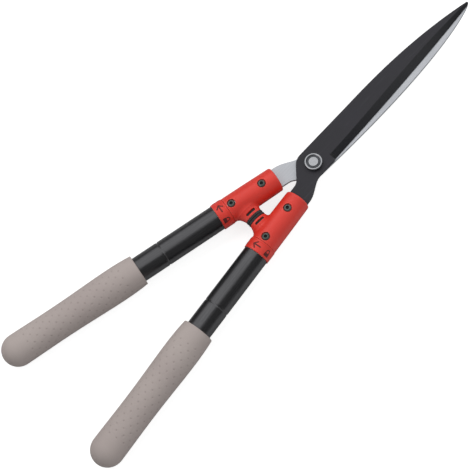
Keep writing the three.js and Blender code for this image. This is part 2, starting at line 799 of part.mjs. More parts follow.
function lockCollar(side) {
  const lipBore = innerTubeRadius + slideGap;
  const bore = collarRadius - collarWall;
  const end = collarReach + collarLength;
  const grooveMiddle = collarReach + collarLength * collarGrooveShare;
  const groove = [grooveMiddle - collarGrooveLength / 2, grooveMiddle + collarGrooveLength / 2];
  return turnedAlongX([
    [lipBore, collarReach],
    ...cornerArc(collarRadius - collarRound, collarReach + collarRound, collarRound,
      -Math.PI / 2, 0),
    ...cornerArc(collarRadius - collarRound, end - collarRound, collarRound, 0, Math.PI / 2),
    [bore, end],
    [bore, groove[1]],
    [bore + collarGrooveDepth, groove[1]],
    [bore + collarGrooveDepth, groove[0]],
    [bore, groove[0]],
    [bore, collarReach + collarLipLength],
    [lipBore, collarReach + collarLipLength],
    [lipBore, collarReach],
  ], visibleSides).subtract(lockSlot(side));
}

// The outer tube, with the rolled groove that stops the end bush
function outerTube() {
  const near = stopGrooveReach - stopGrooveLength / 2;
  const far = stopGrooveReach + stopGrooveLength / 2;
  const slope = stopGrooveLength / 4;
  const groove = [[near, 0], [near + slope, stopGrooveDepth], [far - slope, stopGrooveDepth], [far, 0]];
  return turnedAlongX([
    [outerTubeBore, outerTubeReach],
    [outerTubeRadius, outerTubeReach],
    ...groove.map(([place, depth]) => [outerTubeRadius - depth, place]),
    [outerTubeRadius, outerTubeEnd],
    [outerTubeBore, outerTubeEnd],
    ...groove.reverse().map(([place, depth]) => [outerTubeBore - depth, place]),
    [outerTubeBore, outerTubeReach],
  ], visibleSides);
}

function endPlug() {
  const plugRadius = outerTubeBore - slideGap;
  const flange = outerTubeEnd + fitGap;
  return turnedAlongX([
    [0, endPlugReach + fitGap],
    [plugRadius, endPlugReach + fitGap],
    [plugRadius, flange],
    [outerTubeRadius, flange],
    [outerTubeRadius, flange + endPlugFlange],
    [0, flange + endPlugFlange],
  ], hiddenSides);
}

function grip() {
  const bore = outerTubeRadius + slideGap;
  const ballPlace = gripEndReach - gripBallRadius;
  const side = new THREE.SplineCurve([
    new THREE.Vector2(gripMouthRadius, gripMouthReach + gripMouthRound),
    new THREE.Vector2(gripSwellRadius, gripSwellReach),
    new THREE.Vector2(gripWaistRadius, gripWaistReach),
    new THREE.Vector2(gripBallRadius, ballPlace),
  ]);
  const ball = [];
  for (let i = 1; i < ballSteps; i++) {
    const angle = ((Math.PI / 2) * i) / ballSteps;
    ball.push([gripBallRadius * Math.cos(angle), ballPlace + gripBallRadius * Math.sin(angle)]);
  }
  return turnedAlongX([
    [0, gripBoreEnd],
    [bore, gripBoreEnd],
    [bore, gripMouthReach],
    [gripMouthRadius - gripMouthRound, gripMouthReach],
    ...side.getPoints(gripSteps).map((point) => [point.x, point.y]),
    ...ball,
    [0, gripEndReach],
  ], visibleSides);
}

// One handle: what sits on the handle's axis goes into its turned group
function handle(side, name) {
  const group = new THREE.Group();
  group.applyMatrix4(handleFrame(side));
  group.add(
    piece(`${name}_housing`, housing(side), materials.redPlastic),
    piece(`${name}_front_screw`, screw(screwFrontReach), materials.blackScrew),
    piece(`${name}_rear_screw`, screw(screwRearReach), materials.blackScrew),
    piece(`${name}_front_nut`, nut(screwFrontReach), materials.zincSteel),
    piece(`${name}_rear_nut`, nut(screwRearReach), materials.zincSteel),
    piece(`${name}_tang_sleeve`, tangSleeve(side), materials.palePlastic),
    piece(`${name}_inner_tube`, innerTube(), materials.aluminium),
    piece(`${name}_end_bush`, endBush(), materials.palePlastic),
    piece(`${name}_collet`, collet(), materials.palePlastic),
    piece(`${name}_lock_collar`, lockCollar(side), materials.redPlastic),
    piece(`${name}_outer_tube`, outerTube(), materials.blackTube),
    piece(`${name}_end_plug`, endPlug(), materials.palePlastic),
    piece(`${name}_grip`, grip(), materials.greyGrip),
  );
  return group;
}

const group = new THREE.Group();
group.position.z = -capTop;
group.add(
  piece('black_blade', upperBlade(), materials.blackBlade),
  piece('silver_blade', lowerBlade(), materials.satinSteel),
  piece('pivot_cap', pivotCap(), materials.chrome),
  piece('pivot_bolt', pivotBolt(), materials.zincSteel),
  piece('pivot_washer', pivotWasher(), materials.zincSteel),
  piece('pivot_spring_washer', pivotSpringWasher(), materials.zincSteel),
  piece('pivot_nut', pivotNut(), materials.zincSteel),
  piece('left_bumper', bumper(left), materials.blackRubber),
  piece('right_bumper', bumper(right), materials.blackRubber),
  handle(left, 'left'),
  handle(right, 'right'),
);

export default group;
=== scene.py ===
"""Finished pieces of the telescopic hedge shears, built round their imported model."""

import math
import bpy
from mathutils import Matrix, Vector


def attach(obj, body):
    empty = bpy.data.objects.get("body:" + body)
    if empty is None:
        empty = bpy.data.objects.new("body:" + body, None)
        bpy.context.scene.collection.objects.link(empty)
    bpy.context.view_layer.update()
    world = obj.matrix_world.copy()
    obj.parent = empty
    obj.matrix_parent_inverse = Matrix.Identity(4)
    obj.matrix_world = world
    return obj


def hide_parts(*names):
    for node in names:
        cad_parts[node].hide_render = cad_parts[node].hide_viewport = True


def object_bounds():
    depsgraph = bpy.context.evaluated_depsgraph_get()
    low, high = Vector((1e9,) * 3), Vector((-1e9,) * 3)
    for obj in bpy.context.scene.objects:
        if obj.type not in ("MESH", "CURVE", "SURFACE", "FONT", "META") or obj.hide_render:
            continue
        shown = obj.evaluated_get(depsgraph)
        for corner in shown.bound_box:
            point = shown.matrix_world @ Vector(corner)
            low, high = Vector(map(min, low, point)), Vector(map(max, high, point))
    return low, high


bl_info = {
    "name": "Telescopic hedge shears",
    "version": (1, 0, 0),
    "blender": (4, 5, 0),
    "location": "View3D > Sidebar > Shears",
    "description": "Builds the finished pieces of the shears round their packed model",
    "category": "Object",
}

from functools import cache, partial

import bmesh
import bpy
import numpy as np
from bpy.props import FloatProperty, FloatVectorProperty, IntProperty, PointerProperty
from mathutils import Matrix, Vector
from mathutils.geometry import tessellate_polygon

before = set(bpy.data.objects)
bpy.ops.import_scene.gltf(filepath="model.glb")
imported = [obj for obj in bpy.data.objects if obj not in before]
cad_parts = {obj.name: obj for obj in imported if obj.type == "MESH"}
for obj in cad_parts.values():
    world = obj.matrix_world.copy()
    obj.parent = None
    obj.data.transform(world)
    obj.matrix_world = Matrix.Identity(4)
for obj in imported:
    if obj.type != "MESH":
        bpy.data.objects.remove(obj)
cad_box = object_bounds()

MM = 0.001
LEFT = 1
RIGHT = -1
SIDES = {LEFT: "left", RIGHT: "right"}
FIXED_BODY = {LEFT: "silver_side", RIGHT: "black_side"}

# Sizes of the shears in millimetres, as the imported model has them. Heights are measured from
# the plane where the blades meet, which lies CAP_TOP under the top of the cap.
CAP_TOP = 9.05
HANDLE_ANGLE = math.radians(9.86)
HANDLE_OFFSET = 10.9
BLADE_ANGLE = math.radians(3.43)
BLADE_THICKNESS = 4
PARTING = 0.15
BLADE_TOP = PARTING + BLADE_THICKNESS
FIT_GAP = 0.3
SEAT = BLADE_TOP + FIT_GAP

BLADE_REACH = 280.5
TIP_ROUND = 1.3
TIP_NOSE = (0.1, 0.3)
HEEL_REACH = 20.2
EDGE_STEP = 1.8
EDGE_BELLY = (0.57, 0.8)
BEVEL_WIDTH = 7.8
BEVEL_EDGE_HEIGHT = 0.7
BEVEL_FALL = BLADE_THICKNESS - BEVEL_EDGE_HEIGHT
BEVEL_LINE = ((0.392, 0.36), (0.677, -0.3))
BEVEL_TIP = 0.995
BEVEL_STRIPS = (0.06, 0.18, 0.12)
EDGE_FLAT = 0.06
FOOT_ROUND = 0.2
SHOULDER_BACK = 10.2
SHOULDER_SLOPE = math.radians(44.6)
SHOULDER_ROUND = 8
CROTCH_ROUND = 5
TANG_WIDTH = 25.6
TANG_CURVE_REACH = 42
TANG_NECK = (79, 83)
TANG_END_WIDTH = 18
TANG_REACH = 114
PIVOT_HOLE = 4.2
SCREW_HOLE = 2.7
HOLE_SIDES = 32
SECTION = 7
# What differs between the blades. Their finishes are those of the flats, bevel, rim and edge.
BLADES = {
    RIGHT: {
        "piece": "upper_blade", "node": "black_blade", "slot": "coated_steel",
        "ricasso": 16.4, "heel": 15, "spine": 19.65, "tip_drop": 1.6, "shoulder": 19.6,
        "spine_line": ((0.232, 1), (0.346, 0.976), (0.652, 1.212)),
        "heel_back": 6, "heel_pull": 11.5, "tang_pull": 13.5, "tang_shift": 0.5,
    },
    LEFT: {
        "piece": "lower_blade", "node": "silver_blade", "slot": "satin_steel",
        "ricasso": 19.3, "heel": 17.8, "spine": 15.6, "tip_drop": 2.4, "shoulder": 15,
        "spine_line": ((0.02, 1), (0.74, 1.654), (0.987, 0.219)),
        "heel_back": 4.5, "heel_pull": 9, "tang_pull": 16, "tang_shift": 0.9,
    },
}

CAP_RADIUS = 10.6
CAP_WELL = (5.75, 8.35)
BOLT_RADIUS = 4
THREAD_ROOT = 3.65
THREAD_RISE = 0.3
WASHER_HEIGHT = 1.5
SPRING_RISE = 0.9
SPRING_HEIGHT = 0.7
PIVOT_NUT_ACROSS = 13
PIVOT_NUT_HEIGHT = 5.6
PIVOT_NUT_RING = 2.2
BOLT_TAIL = 1

HOUSING = (46.4, 115.2)
HOUSING_RADII = ((46.4, 15.45), (75.3, 15.85), (115.2, 16.05))
HOUSING_GRID = 0.48
# How far from a point its slope is taken: to move it onto the skin, and for normals and bulge
SKIN_REACHES = (0.02, 0.22)
# The bulge where an edge begins to be lightened, partly as rub and partly as painted highlight, and
# how much more of it makes it wholly lightened
EDGE_LIGHTENING = (0.25, 1.2)
HOUSING_WIDE = 28.5
HOUSING_NARROW = 17
MOUTH_ROUND = 2.2
CUT_ROUND = 0.3
TANG_ROOM = 0.25
SOCKET_ROOM = 0.2
SOCKET_REACH = 85.3
BOSS_REACH = 95.3
BOSS_END_DEPTH = 3.1
BOSS_ROOT_DEPTH = 19
BOSS_FLARE = (11.5 + 3.1j, 12.575 + 8.82j, 15.8 + 13.5j)
BOSS_HEIGHT_SHARE = 0.68
# Half width, depth and half height of a boss's pocket, and of the bumper's tongue in it
POCKET = (6.2, 10, 2.5)
TONGUE = (6, 9.8, 2.3)
SLOT_DEPTH = 7.6
SLOT_SIZE = (13.2, 3.2)
BUMPER_RADIUS = 11.8
SCREW_REACHES = (65.8, 108.5)
SCREW_SEAT_HEIGHT = 13.3
SCREW_SEAT_RADIUS = 5.2
NUT_ACROSS = 8
NUT_SLOPE = math.radians(28)

INNER_RADIUS = 13
INNER_BORE = 11.5
INNER_END = 400.9
OUTER_RADIUS = 15.5
OUTER_BORE = 14.3
OUTER_TUBE = (130.4, 407.5)
STOP_GROOVE = 206.8
COLLAR = (115.5, 130.1)
COLLAR_RADIUS = 16.5
MARK_SIZE = 1.3
GRIP = (240.7, 427.45)
GRIP_RADII = ((241.5, 19.3), (289, 20.55), (354, 19.3), (407.7, 19.75))
GRIP_BORE = (15.7, 409.3)
DIMPLED = (258.5, 396)
DIMPLED_RADIUS = 20.2
TILE_SIDES = 6
TILE_ENDS = 4
# The rings of a dimple: shares of its radius, and heights as shares of its depth
DIMPLE_RINGS = ((1.8, 0), (1.08, -0.02), (0.8, -0.5), (0.42, -0.9))

# The camera that took the photograph
CAMERA_PLACE = (-0.3229, -0.4474, 1.27495)
CAMERA_RIGHT = (0.7243, -0.6777, -0.1267)
CAMERA_DOWN = (-0.6745, -0.6585, -0.3339)
CAMERA_LENS = 90
CAMERA_SENSOR = 36
CAMERA_CLIP = (0.05, 20)
# The stage in metres: half the width of the floor and the cards, the floor's fields and how far
# it lies under the shears, and the cards' upper and lower edges (Y, Z)
STAGE_REACH = 4
FLOOR_FIELDS = 12
FLOOR_DROP = 0.0005
CARD_EDGES = ((-0.43, 1.6), (-2.6, 0), (2, 1.05), (2, 0))


# Node trees

class Wire:
    """A socket that gives a number. Arithmetic on it adds Math nodes to its tree."""

    def __init__(self, tree, socket):
        self.tree = tree
        self.socket = socket

    def maths(self, operation, other=0.0):
        return self.tree.maths(operation, self, other)

    def between(self, low, high, start=0.0, end=1.0):
        """This number's way from low to high, brought to start to end and kept there."""
        return self.tree.node("ShaderNodeMapRange", {
            "Value": self, "From Min": low, "From Max": high, "To Min": start, "To Max": end},
            clamp=True)[0]

    def __add__(self, other):
        return self.maths("ADD", other)

    def __sub__(self, other):
        return self.maths("SUBTRACT", other)

    def __rsub__(self, other):
        return self.tree.maths("SUBTRACT", other, self)

    def __mul__(self, other):
        return self.maths("MULTIPLY", other)

    def __truediv__(self, other):
        return self.maths("DIVIDE", other)

    def __mod__(self, other):
        return self.maths("MODULO", other)

    __radd__ = __add__
    __rmul__ = __mul__


class Outputs:
    """The outputs of one node, asked for by name, identifier or number."""

    def __init__(self, tree, node):
        self.tree = tree
        self.node = node

    def __getitem__(self, key):
        return Wire(self.tree, find_socket(self.node.outputs, key))


def find_socket(sockets, key):
    """The socket with this identifier, name or number."""
    for socket in sockets:
        if socket.identifier == key:
            return socket
    return sockets[key]


class Tree:
    """Adds nodes to a node tree."""

    def __init__(self, nodes_of):
        self.nodes_of = nodes_of

    def node(self, kind, values=None, **settings):
        """Add a node: its settings are set first, and then its sockets' values or links."""
        node = self.nodes_of.nodes.new(kind)
        for name, value in settings.items():
            setattr(node, name, value)
        for key, value in (values or {}).items():
            target = find_socket(node.inputs, key)
            if isinstance(value, Wire):
                self.nodes_of.links.new(value.socket, target)
            else:
                target.default_value = value
        return Outputs(self, node)

    def maths(self, operation, first, second):
        return self.node("ShaderNodeMath", {0: first, 1: second}, operation=operation)[0]


class Surface(Tree):
    """The node tree of one material: a colour with others laid over it."""

    def __init__(self, name, *colour):
        self.material = bpy.data.materials.new(name)
        self.material.use_nodes = True
        super().__init__(self.material.node_tree)
        self.nodes_of.nodes.clear()
        self.place = self.node("ShaderNodeTexCoord")["Object"]
        if colour:
            self.colour = paint(*colour)

    def noise(self, scale, detail, place=None):
        return self.node("ShaderNodeTexNoise", {
            "Vector": place or self.place, "Scale": scale, "Detail": detail})["Fac"]

    def drawn(self, scale, detail, angle, length):
        """Noise drawn out along a direction in the XY plane, for marks that run one way."""
        return self.noise(scale, detail, self.node("ShaderNodeMapping", {
            "Vector": self.place, "Rotation": (0, 0, angle), "Scale": (length, 1, 1)},
            vector_type="TEXTURE")[0])

    def axes(self):
        return self.node("ShaderNodeSeparateXYZ", {0: self.place})

    def mark(self, name):
        """The values that the mesh keeps under a name."""
        return self.node("ShaderNodeAttribute", attribute_name=name)["Fac"]

    def lay(self, share, *colour):
        """Lay a colour over the ones before, by a share."""
        self.colour = self.node("ShaderNodeMix", {
            "Factor_Float": share, "A_Color": self.colour, "B_Color": paint(*colour)},
            data_type="RGBA", clamp_factor=True)["Result_Color"]

    def finish(self, roughness, *relief, metallic=0.0, specular=0.5):
        """End in a Principled shader. Relief is patterns and their depths in metres."""
        normal = {}
        for height, depth in relief:
            normal = {"Normal": self.node("ShaderNodeBump", {
                "Height": height, "Distance": depth, "Strength": 1.0, **normal})["Normal"]}
        shader = self.node("ShaderNodeBsdfPrincipled", {
            "Base Color": self.colour, "Roughness": roughness, "Metallic": metallic,
            "Specular IOR Level": specular, **normal})["BSDF"]
        return self.end(shader)

    def end(self, shader):
        self.node("ShaderNodeOutputMaterial", {"Surface": shader})
        return self.material


class Form(Tree):
    """A Geometry Nodes tree with named inputs, each of a kind."""

    def __init__(self, name, inputs):
        super().__init__(bpy.data.node_groups.new(name, "GeometryNodeTree"))
        face = self.nodes_of.interface
        for label, kind in {"Geometry": "Geometry", **inputs}.items():
            socket = face.new_socket(label, in_out="INPUT", socket_type=f"NodeSocket{kind}")
            if kind == "Float":
                socket.subtype = "DISTANCE"
        face.new_socket("Geometry", in_out="OUTPUT", socket_type="NodeSocketGeometry")
        self.inputs = self.node("NodeGroupInput")

    def copies(self, points, pattern):
        """Real copies of a pattern object's shape, one on each point."""
        shape = self.node("GeometryNodeObjectInfo", {"Object": pattern, "As Instance": True})
        placed = self.node("GeometryNodeInstanceOnPoints", {
            "Points": points, "Instance": shape["Geometry"]})[0]
        return self.node("GeometryNodeRealizeInstances", {"Geometry": placed})[0]

    def end(self, geometry):
        """End with the finish that the input of that name gives."""
        dressed = self.node("GeometryNodeSetMaterial", {
            "Geometry": geometry, "Material": self.inputs["Finish"]})[0]
        self.node("NodeGroupOutput", {"Geometry": dressed})
        return self

    def grow(self, name, values, base=None):
        """An object whose mesh this tree makes from the values of its inputs."""
        obj = put(name, base or bpy.data.meshes.new(name))
        modifier = obj.modifiers.new("Form", "NODES")
        modifier.node_group = self.nodes_of
        for item in self.nodes_of.interface.items_tree:
            if item.in_out == "INPUT" and item.name in values:
                modifier[item.identifier] = values[item.name]
        graph = bpy.context.evaluated_depsgraph_get()
        mesh = bpy.data.meshes.new_from_object(obj.evaluated_get(graph))
        obj.modifiers.clear()
        obj.data = mesh
        return obj


# Finishes

def paint(red, green, blue):
    """A colour written as on a paint card, 0 to 255, in the linear form that shaders take."""
    shares = [value / 255 for value in (red, green, blue)]
    return (*(v / 12.92 if v <= 0.04045 else ((v + 0.055) / 1.055) ** 2.4 for v in shares), 1)


@cache
def coated_steel():
    """Satin black coat of the upper blade, with a fine orange peel and light handling marks."""
    s = Surface("satin_black_coat", 25, 24, 30)
    peel = s.noise(1400, 3)
    cloud = s.noise(22, 3)
    s.lay(cloud.between(0.3, 0.7), 31, 30, 37)
    s.lay(0.35 * s.drawn(500, 4, BLADE_ANGLE, 24).between(0.6, 0.74), 60, 60, 65)
    return s.finish(0.38 + 0.14 * peel + 0.05 * cloud, (peel, 0.00003))


@cache
def ground_black():
    """The blackened bevel of the upper blade, with the wheel's marks across it."""
    s = Surface("ground_black_bevel", 17, 18, 21)
    across = s.drawn(1400, 3, BLADE_ANGLE + math.radians(84), 18)
    s.lay(across.between(0.3, 0.7), 26, 27, 31)
    return s.finish(0.34 + 0.12 * s.noise(40, 2), (across, 0.00004), specular=0.38)


@cache
def worn_black():
    """Thin rim of the upper blade, where the coat has rubbed a little."""
    s = Surface("rubbed_black_rim", 34, 34, 38)
    rub = s.noise(160, 4).between(0.42, 0.68)
    s.lay(0.8 * rub, 88, 88, 93)
    return s.finish(0.42 - 0.08 * rub, metallic=0.4)


@cache
def satin_steel():
    """Belt-ground steel of the lower blade, with lines along it."""
    s = Surface("belt_ground_steel", 181, 184, 189)
    lines = s.drawn(1700, 4, BLADE_ANGLE, 40)
    s.lay(lines.between(0.3, 0.7), 199, 201, 206)
    s.lay(0.35 * s.noise(14, 3).between(0.4, 0.75), 168, 171, 177)
    return s.finish(0.36 + 0.1 * lines, (lines, 0.00002), metallic=0.75)


@cache
def ground_steel():
    """The bright bevel of the lower blade, ground across."""
    s = Surface("ground_steel_bevel", 166, 168, 172)
    across = s.drawn(1400, 3, BLADE_ANGLE - math.radians(84), 18)
    s.lay(across.between(0.3, 0.7), 196, 198, 202)
    return s.finish(0.26 + 0.1 * across, (across, 0.00003), metallic=0.85)


@cache
def whetted_edge():
    """The honed line along the lower blade's edge, painted light and barely metallic as a painted
    sheen.
    """
    s = Surface("whetted_edge", 190, 192, 196)
    nicks = s.noise(900, 4)
    s.lay(nicks.between(0.35, 0.7), 222, 223, 226)
    return s.finish(0.34 + 0.12 * nicks, metallic=0.2)


@cache
def cap_chrome():
    """Bright plating of the cap, with the fine rings of its turning."""
    s = Surface("turned_chrome", 160, 162, 166)
    axes = s.axes()
    radius = (axes["X"] * axes["X"] + axes["Y"] * axes["Y"]).maths("SQRT")
    rings = (radius * 9500).maths("SINE")
    fog = s.noise(300, 3)
    s.lay((rings * 0.5 + 0.5).between(0, 1), 198, 200, 203)
    s.lay(0.3 * fog.between(0.5, 0.8), 140, 142, 146)
    return s.finish(0.12 + 0.12 * fog, (rings, 0.00001), metallic=1.0)


@cache
def cap_well():
    """The sunk ring of the cap, its chrome painted darker as shade in the recess."""
    s = Surface("dark_chrome_ring", 66, 68, 72)
    fog = s.noise(500, 3)
    s.lay(fog, 96, 98, 102)
    return s.finish(0.26 + 0.14 * fog, metallic=0.9)


@cache
def zinc_steel():
    """Zinc plating of the washers, nuts and bolt."""
    s = Surface("zinc_plate", 150, 152, 154)
    spangle = s.noise(700, 3)
    cloud = s.noise(120, 3)
    s.lay(spangle.between(0.3, 0.7), 186, 188, 190)
    s.lay(0.4 * cloud.between(0.5, 0.8), 166, 160, 140)
    return s.finish(0.3 + 0.18 * cloud, (spangle, 0.00001), metallic=0.9)


@cache
def black_screw():
    """Black oxide of the socket screws, with painted shade down in the sockets."""
    s = Surface("black_oxide", 82, 88, 84)
    grain = s.noise(1500, 3)
    s.lay(s.noise(260, 3).between(0.35, 0.7), 104, 110, 106)
    # Painted shade: the sockets are painted near black
    s.lay(s.mark("socket"), 14, 17, 17)
    return s.finish(0.32 + 0.16 * grain, (grain, 0.00001), metallic=0.6)


@cache
def red_plastic():
    """Moulded red plastic: fine spark grain, a parting line at mid height, edges lightened partly by
    rub and partly as painted highlight.
    """
    s = Surface("red_moulding", 203, 41, 27)
    grain = s.noise(1700, 2)
    seam = (s.axes()["Z"] + CAP_TOP * MM).maths("ABSOLUTE").between(0.00005, 0.00016, 1, 0)
    edge = s.mark("edge_rub_and_highlight")
    s.lay(s.noise(30, 3).between(0.3, 0.7), 209, 46, 31)
    # Edges lighter and smoother: partly rub, partly painted highlight
    s.lay(0.5 * edge, 226, 92, 80)
    s.lay(0.35 * seam, 150, 30, 24)
    return s.finish(
        0.38 + 0.12 * grain - 0.08 * edge, (grain, 0.00003), (seam, 0.00006), specular=0.8)


@cache
def collar_mark():
    """Dark colour on the raised marks of the lock collars."""
    s = Surface("dark_mark_ink", 74, 26, 24)
    worn = s.noise(700, 4).between(0.5, 0.75)
    s.lay(0.7 * worn, 160, 40, 34)
    return s.finish(0.5 + 0.1 * worn)


@cache
def black_rubber():
    """Matt rubber of the bumpers."""
    s = Surface("bumper_rubber", 40, 41, 42)
    grain = s.noise(1500, 3)
    s.lay(s.noise(90, 3).between(0.4, 0.75), 58, 59, 60)
    return s.finish(0.66 + 0.18 * grain, (grain, 0.00006), specular=0.4)


@cache
def black_tube(side):
    """Black coat of an outer tube, drawn along the handle and a little scuffed."""
    s = Surface(f"{SIDES[side]}_tube_coat", 88, 88, 90)
    angle = -side * HANDLE_ANGLE
    peel = s.noise(1300, 2)
    scuffs = s.drawn(420, 5, angle, 5).between(0.68, 0.8)
    s.lay(s.drawn(1500, 3, angle, 60).between(0.3, 0.7), 101, 101, 103)
    s.lay(0.3 * scuffs, 140, 142, 145)
    return s.finish(0.27 + 0.08 * peel + 0.1 * scuffs, (peel, 0.00002), metallic=1.0)


@cache
def tube_aluminium(side):
    """Drawn aluminium of an inner tube, with the lines of the die along it."""
    s = Surface(f"{SIDES[side]}_drawn_aluminium", 172, 174, 177)
    lines = s.drawn(2200, 4, -side * HANDLE_ANGLE, 110)
    s.lay(lines.between(0.3, 0.7), 204, 206, 208)
    s.lay(0.3 * s.noise(26, 3).between(0.45, 0.75), 156, 158, 161)
    return s.finish(0.3 + 0.14 * lines, (lines, 0.00002), metallic=0.9)


@cache
def pale_plastic():
    """Pale nylon of the hidden bushes, plugs, sleeves and collets."""
    s = Surface("pale_nylon", 200, 199, 190)
    grain = s.noise(1500, 2)
    s.lay(s.noise(60, 4).between(0.3, 0.7), 216, 215, 208)
    return s.finish(0.48 + 0.12 * grain, (grain, 0.00003))


@cache
def grey_grip():
    """Warm grey soft rubber, with painted shade in the dimples and a fine matt grain."""
    s = Surface("grey_soft_grip", 163, 152, 149)
    grain = s.noise(1900, 3)
    pores = s.noise(4200, 1).between(0.62, 0.8)
    s.lay(s.noise(18, 4).between(0.3, 0.72), 171, 161, 157)
    s.lay(0.25 * grain.between(0.55, 0.8), 150, 139, 136)
    # Painted shade, deeper in each dimple
    s.lay(0.3 * s.mark("hollow"), 112, 102, 99)
    return s.finish(0.62 + 0.16 * grain, (grain, 0.00005), (pores, 0.00003), specular=0.35)


# Curves and profiles, in millimetres. A point in a plane is a complex number.

def curve(steps, *pulls):
    """A curve from the first point to the last, pulled by those between."""
    t = np.linspace(0, 1, steps + 1)
    while len(pulls) > 1:
        pulls = [a + (b - a) * t for a, b in zip(pulls, pulls[1:])]
    return pulls[0]


def cross(a, b):
    return (a.conjugate() * b).imag


def wave(sides):
    """Directions all round."""
    return np.exp(2j * math.pi * np.arange(sides) / sides)


def raised(flat, heights):
    """Points in space from points in a plane and their heights."""
    return np.stack([flat.real, flat.imag, np.broadcast_to(heights, flat.shape)], -1)


def circle(radius, height, sides):
    return raised(radius * wave(sides), height)


def hexagon(across, height, sides):
    """A level row of points round a hexagon."""
    ring = wave(sides)
    return raised(across / 2 / hexagon_share(np.angle(ring)) * ring, height)


def hexagon_share(turn):
    """A hexagon's distance to its flats, as a share of its reach in a direction."""
    return np.cos((turn + math.pi / 6) % (math.pi / 3) - math.pi / 6)


def softened(corners, closed, steps):
    """Round the corners (radius, place, round) of a profile.

    Gives its points and, at each, the direction square to it on its right-hand side.
    """
    spots = [complex(radius, place) for radius, place, _ in corners]
    points, squares = [], []
    for i, here in enumerate(spots):
        before = spots[i - 1] - here
        after = spots[(i + 1) % len(spots)] - here
        if not closed and i == 0:
            before = -after
        if not closed and i == len(spots) - 1:
            after = -before
        room = min(abs(before), abs(after)) * 0.49
        before /= abs(before)
        after /= abs(after)
        first, last = 1j * before, -1j * after
        turn = np.angle(last / first)
        if abs(turn) < 2e-4 or not corners[i][2]:
            points.append(here)
            squares.append(last)
            continue
        slope = math.tan((math.pi - abs(turn)) / 2)
        reach = min(corners[i][2] / slope, room)
        bend = math.copysign(reach * slope, turn)
        for share in np.linspace(0, 1, steps + 1):
            square = first * np.exp(1j * turn * share)
            points.append(here + before * reach + (square - first) * bend)
            squares.append(square)
    return np.array(points), np.array(squares)


def turned(corners, sides, steps=4, closed=True, upright=False):
    """Turn a profile about the X axis, or Z if upright. Gives points, faces and normals."""
    points, squares = softened(corners, closed, steps)
    if np.sum(cross(points, np.roll(points, -1))) < 0:
        squares = -squares
    spots, normals, rows, faces = [], [], [], []
    first = 0
    for point, square in zip(points, squares):
        ring = wave(sides if point.real > 1e-9 else 1)
        spots.append(raised(point.real * ring, point.imag))
        normals.append(raised(square.real * ring, square.imag))
        rows.append([first + n % len(ring) for n in range(sides)])
        first += len(ring)
    for near, far in zip(rows, rows[1:] + (rows[:1] if closed else [])):
        for j in range(sides):
            k = (j + 1) % sides
            faces.append(list(dict.fromkeys((near[j], near[k], far[k], far[j]))))
    order = [0, 1, 2] if upright else [2, 0, 1]
    return np.concatenate(spots)[:, order], faces, np.concatenate(normals)[:, order]


def loft(rows, closed=False, capped=False):
    """Join rows of points, each closed round, by faces."""
    count = len(rows[0])
    faces = []
    for i in range(len(rows) if closed else len(rows) - 1):
        near, far = i * count, (i + 1) % len(rows) * count
        for j in range(count):
            k = (j + 1) % count
            faces.append([near + j, near + k, far + k, far + j])
    points = np.concatenate(rows)
    if capped:
        faces += [list(range(count))[::-1], list(range(len(points) - count, len(points)))]
    return points, faces


def together(*shapes):
    """Several shapes of points and faces as one."""
    faces = []
    start = 0
    for points, more in shapes:
        faces += [[start + corner for corner in face] for face in more]
        start += len(points)
    return np.concatenate([points for points, _ in shapes]), faces


# Places and objects

def handle_matrix(side):
    """From a handle's frame, in metres, to the frame of the row."""
    turn = Matrix.Rotation(math.pi - side * HANDLE_ANGLE, 4, "Z")
    return blade_matrix() @ turn @ Matrix.Translation((0, -side * HANDLE_OFFSET * MM, 0))


def blade_matrix():
    """From the plane where the blades meet to the frame of the row."""
    return Matrix.Translation((0, 0, -CAP_TOP * MM))


def on_tang(side, along, out):
    """The point in the XY plane that far along a handle and out from its middle."""
    turn = math.pi - side * HANDLE_ANGLE
    return complex(along, -side * (out + HANDLE_OFFSET)) * np.exp(1j * turn)


def on_blade(side, along, depth):
    """The point in the XY plane that far along a blade and towards its back."""
    return complex(along, -side * depth) * np.exp(1j * BLADE_ANGLE)


def put(name, data):
    """Put data in the scene under a name, in place of what an earlier run left."""
    old = bpy.data.objects.get(name)
    if old is not None:
        bpy.data.objects.remove(old)
    obj = bpy.data.objects.new(name, data)
    bpy.context.scene.collection.objects.link(obj)
    return obj


def plain_mesh(name, points, faces, *materials, size=1.0):
    mesh = bpy.data.meshes.new(name)
    mesh.from_pydata([tuple(point) for point in np.asarray(points) * size], [], faces)
    for material in materials:
        mesh.materials.append(material)
    return mesh


def make_object(name, shape, materials, matrix=Matrix(), sharp=30, kinds=None, marks=None):
    """A closed mesh as an object at the origin, from a shape in millimetres.

    Where the shape has no normals of its own, its doubled points are joined, and edges past
    the sharp angle stay sharp. Kinds number each face's material, and marks name values of points.
    """
    points, faces, *normals = shape
    mesh = plain_mesh(name, points, faces, *materials, size=MM)
    if kinds is not None:
        mesh.polygons.foreach_set("material_index", np.asarray(kinds, np.int32))
    for label, values in (marks or {}).items():
        mesh.attributes.new(label, "FLOAT", "POINT").data.foreach_set(
            "value", np.asarray(values, np.float32))
    mesh.polygons.foreach_set("use_smooth", np.ones(len(mesh.polygons), bool))
    face_outward(mesh, not normals)
    if normals:
        mesh.normals_split_custom_set_from_vertices([tuple(n) for n in normals[0]])
    mesh.transform(matrix)
    if not normals:
        mesh.set_sharp_from_angle(angle=math.radians(sharp))
    return put(name, mesh)


def face_outward(mesh, weld=False):
    """Turn all faces of a closed mesh outwards, with its doubled points joined if wanted."""
    shape = bmesh.new()
    shape.from_mesh(mesh)
    if weld:
        bmesh.ops.remove_doubles(shape, verts=shape.verts, dist=1e-7)
    bmesh.ops.recalc_face_normals(shape, faces=shape.faces)
    shape.to_mesh(mesh)
    shape.free()


def dress(obj, body, slot, *nodes):
    """Let a finished piece ride on a body and stand for its CAD nodes."""
    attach(obj, body)
    if nodes:
        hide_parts(*nodes)


# Blades

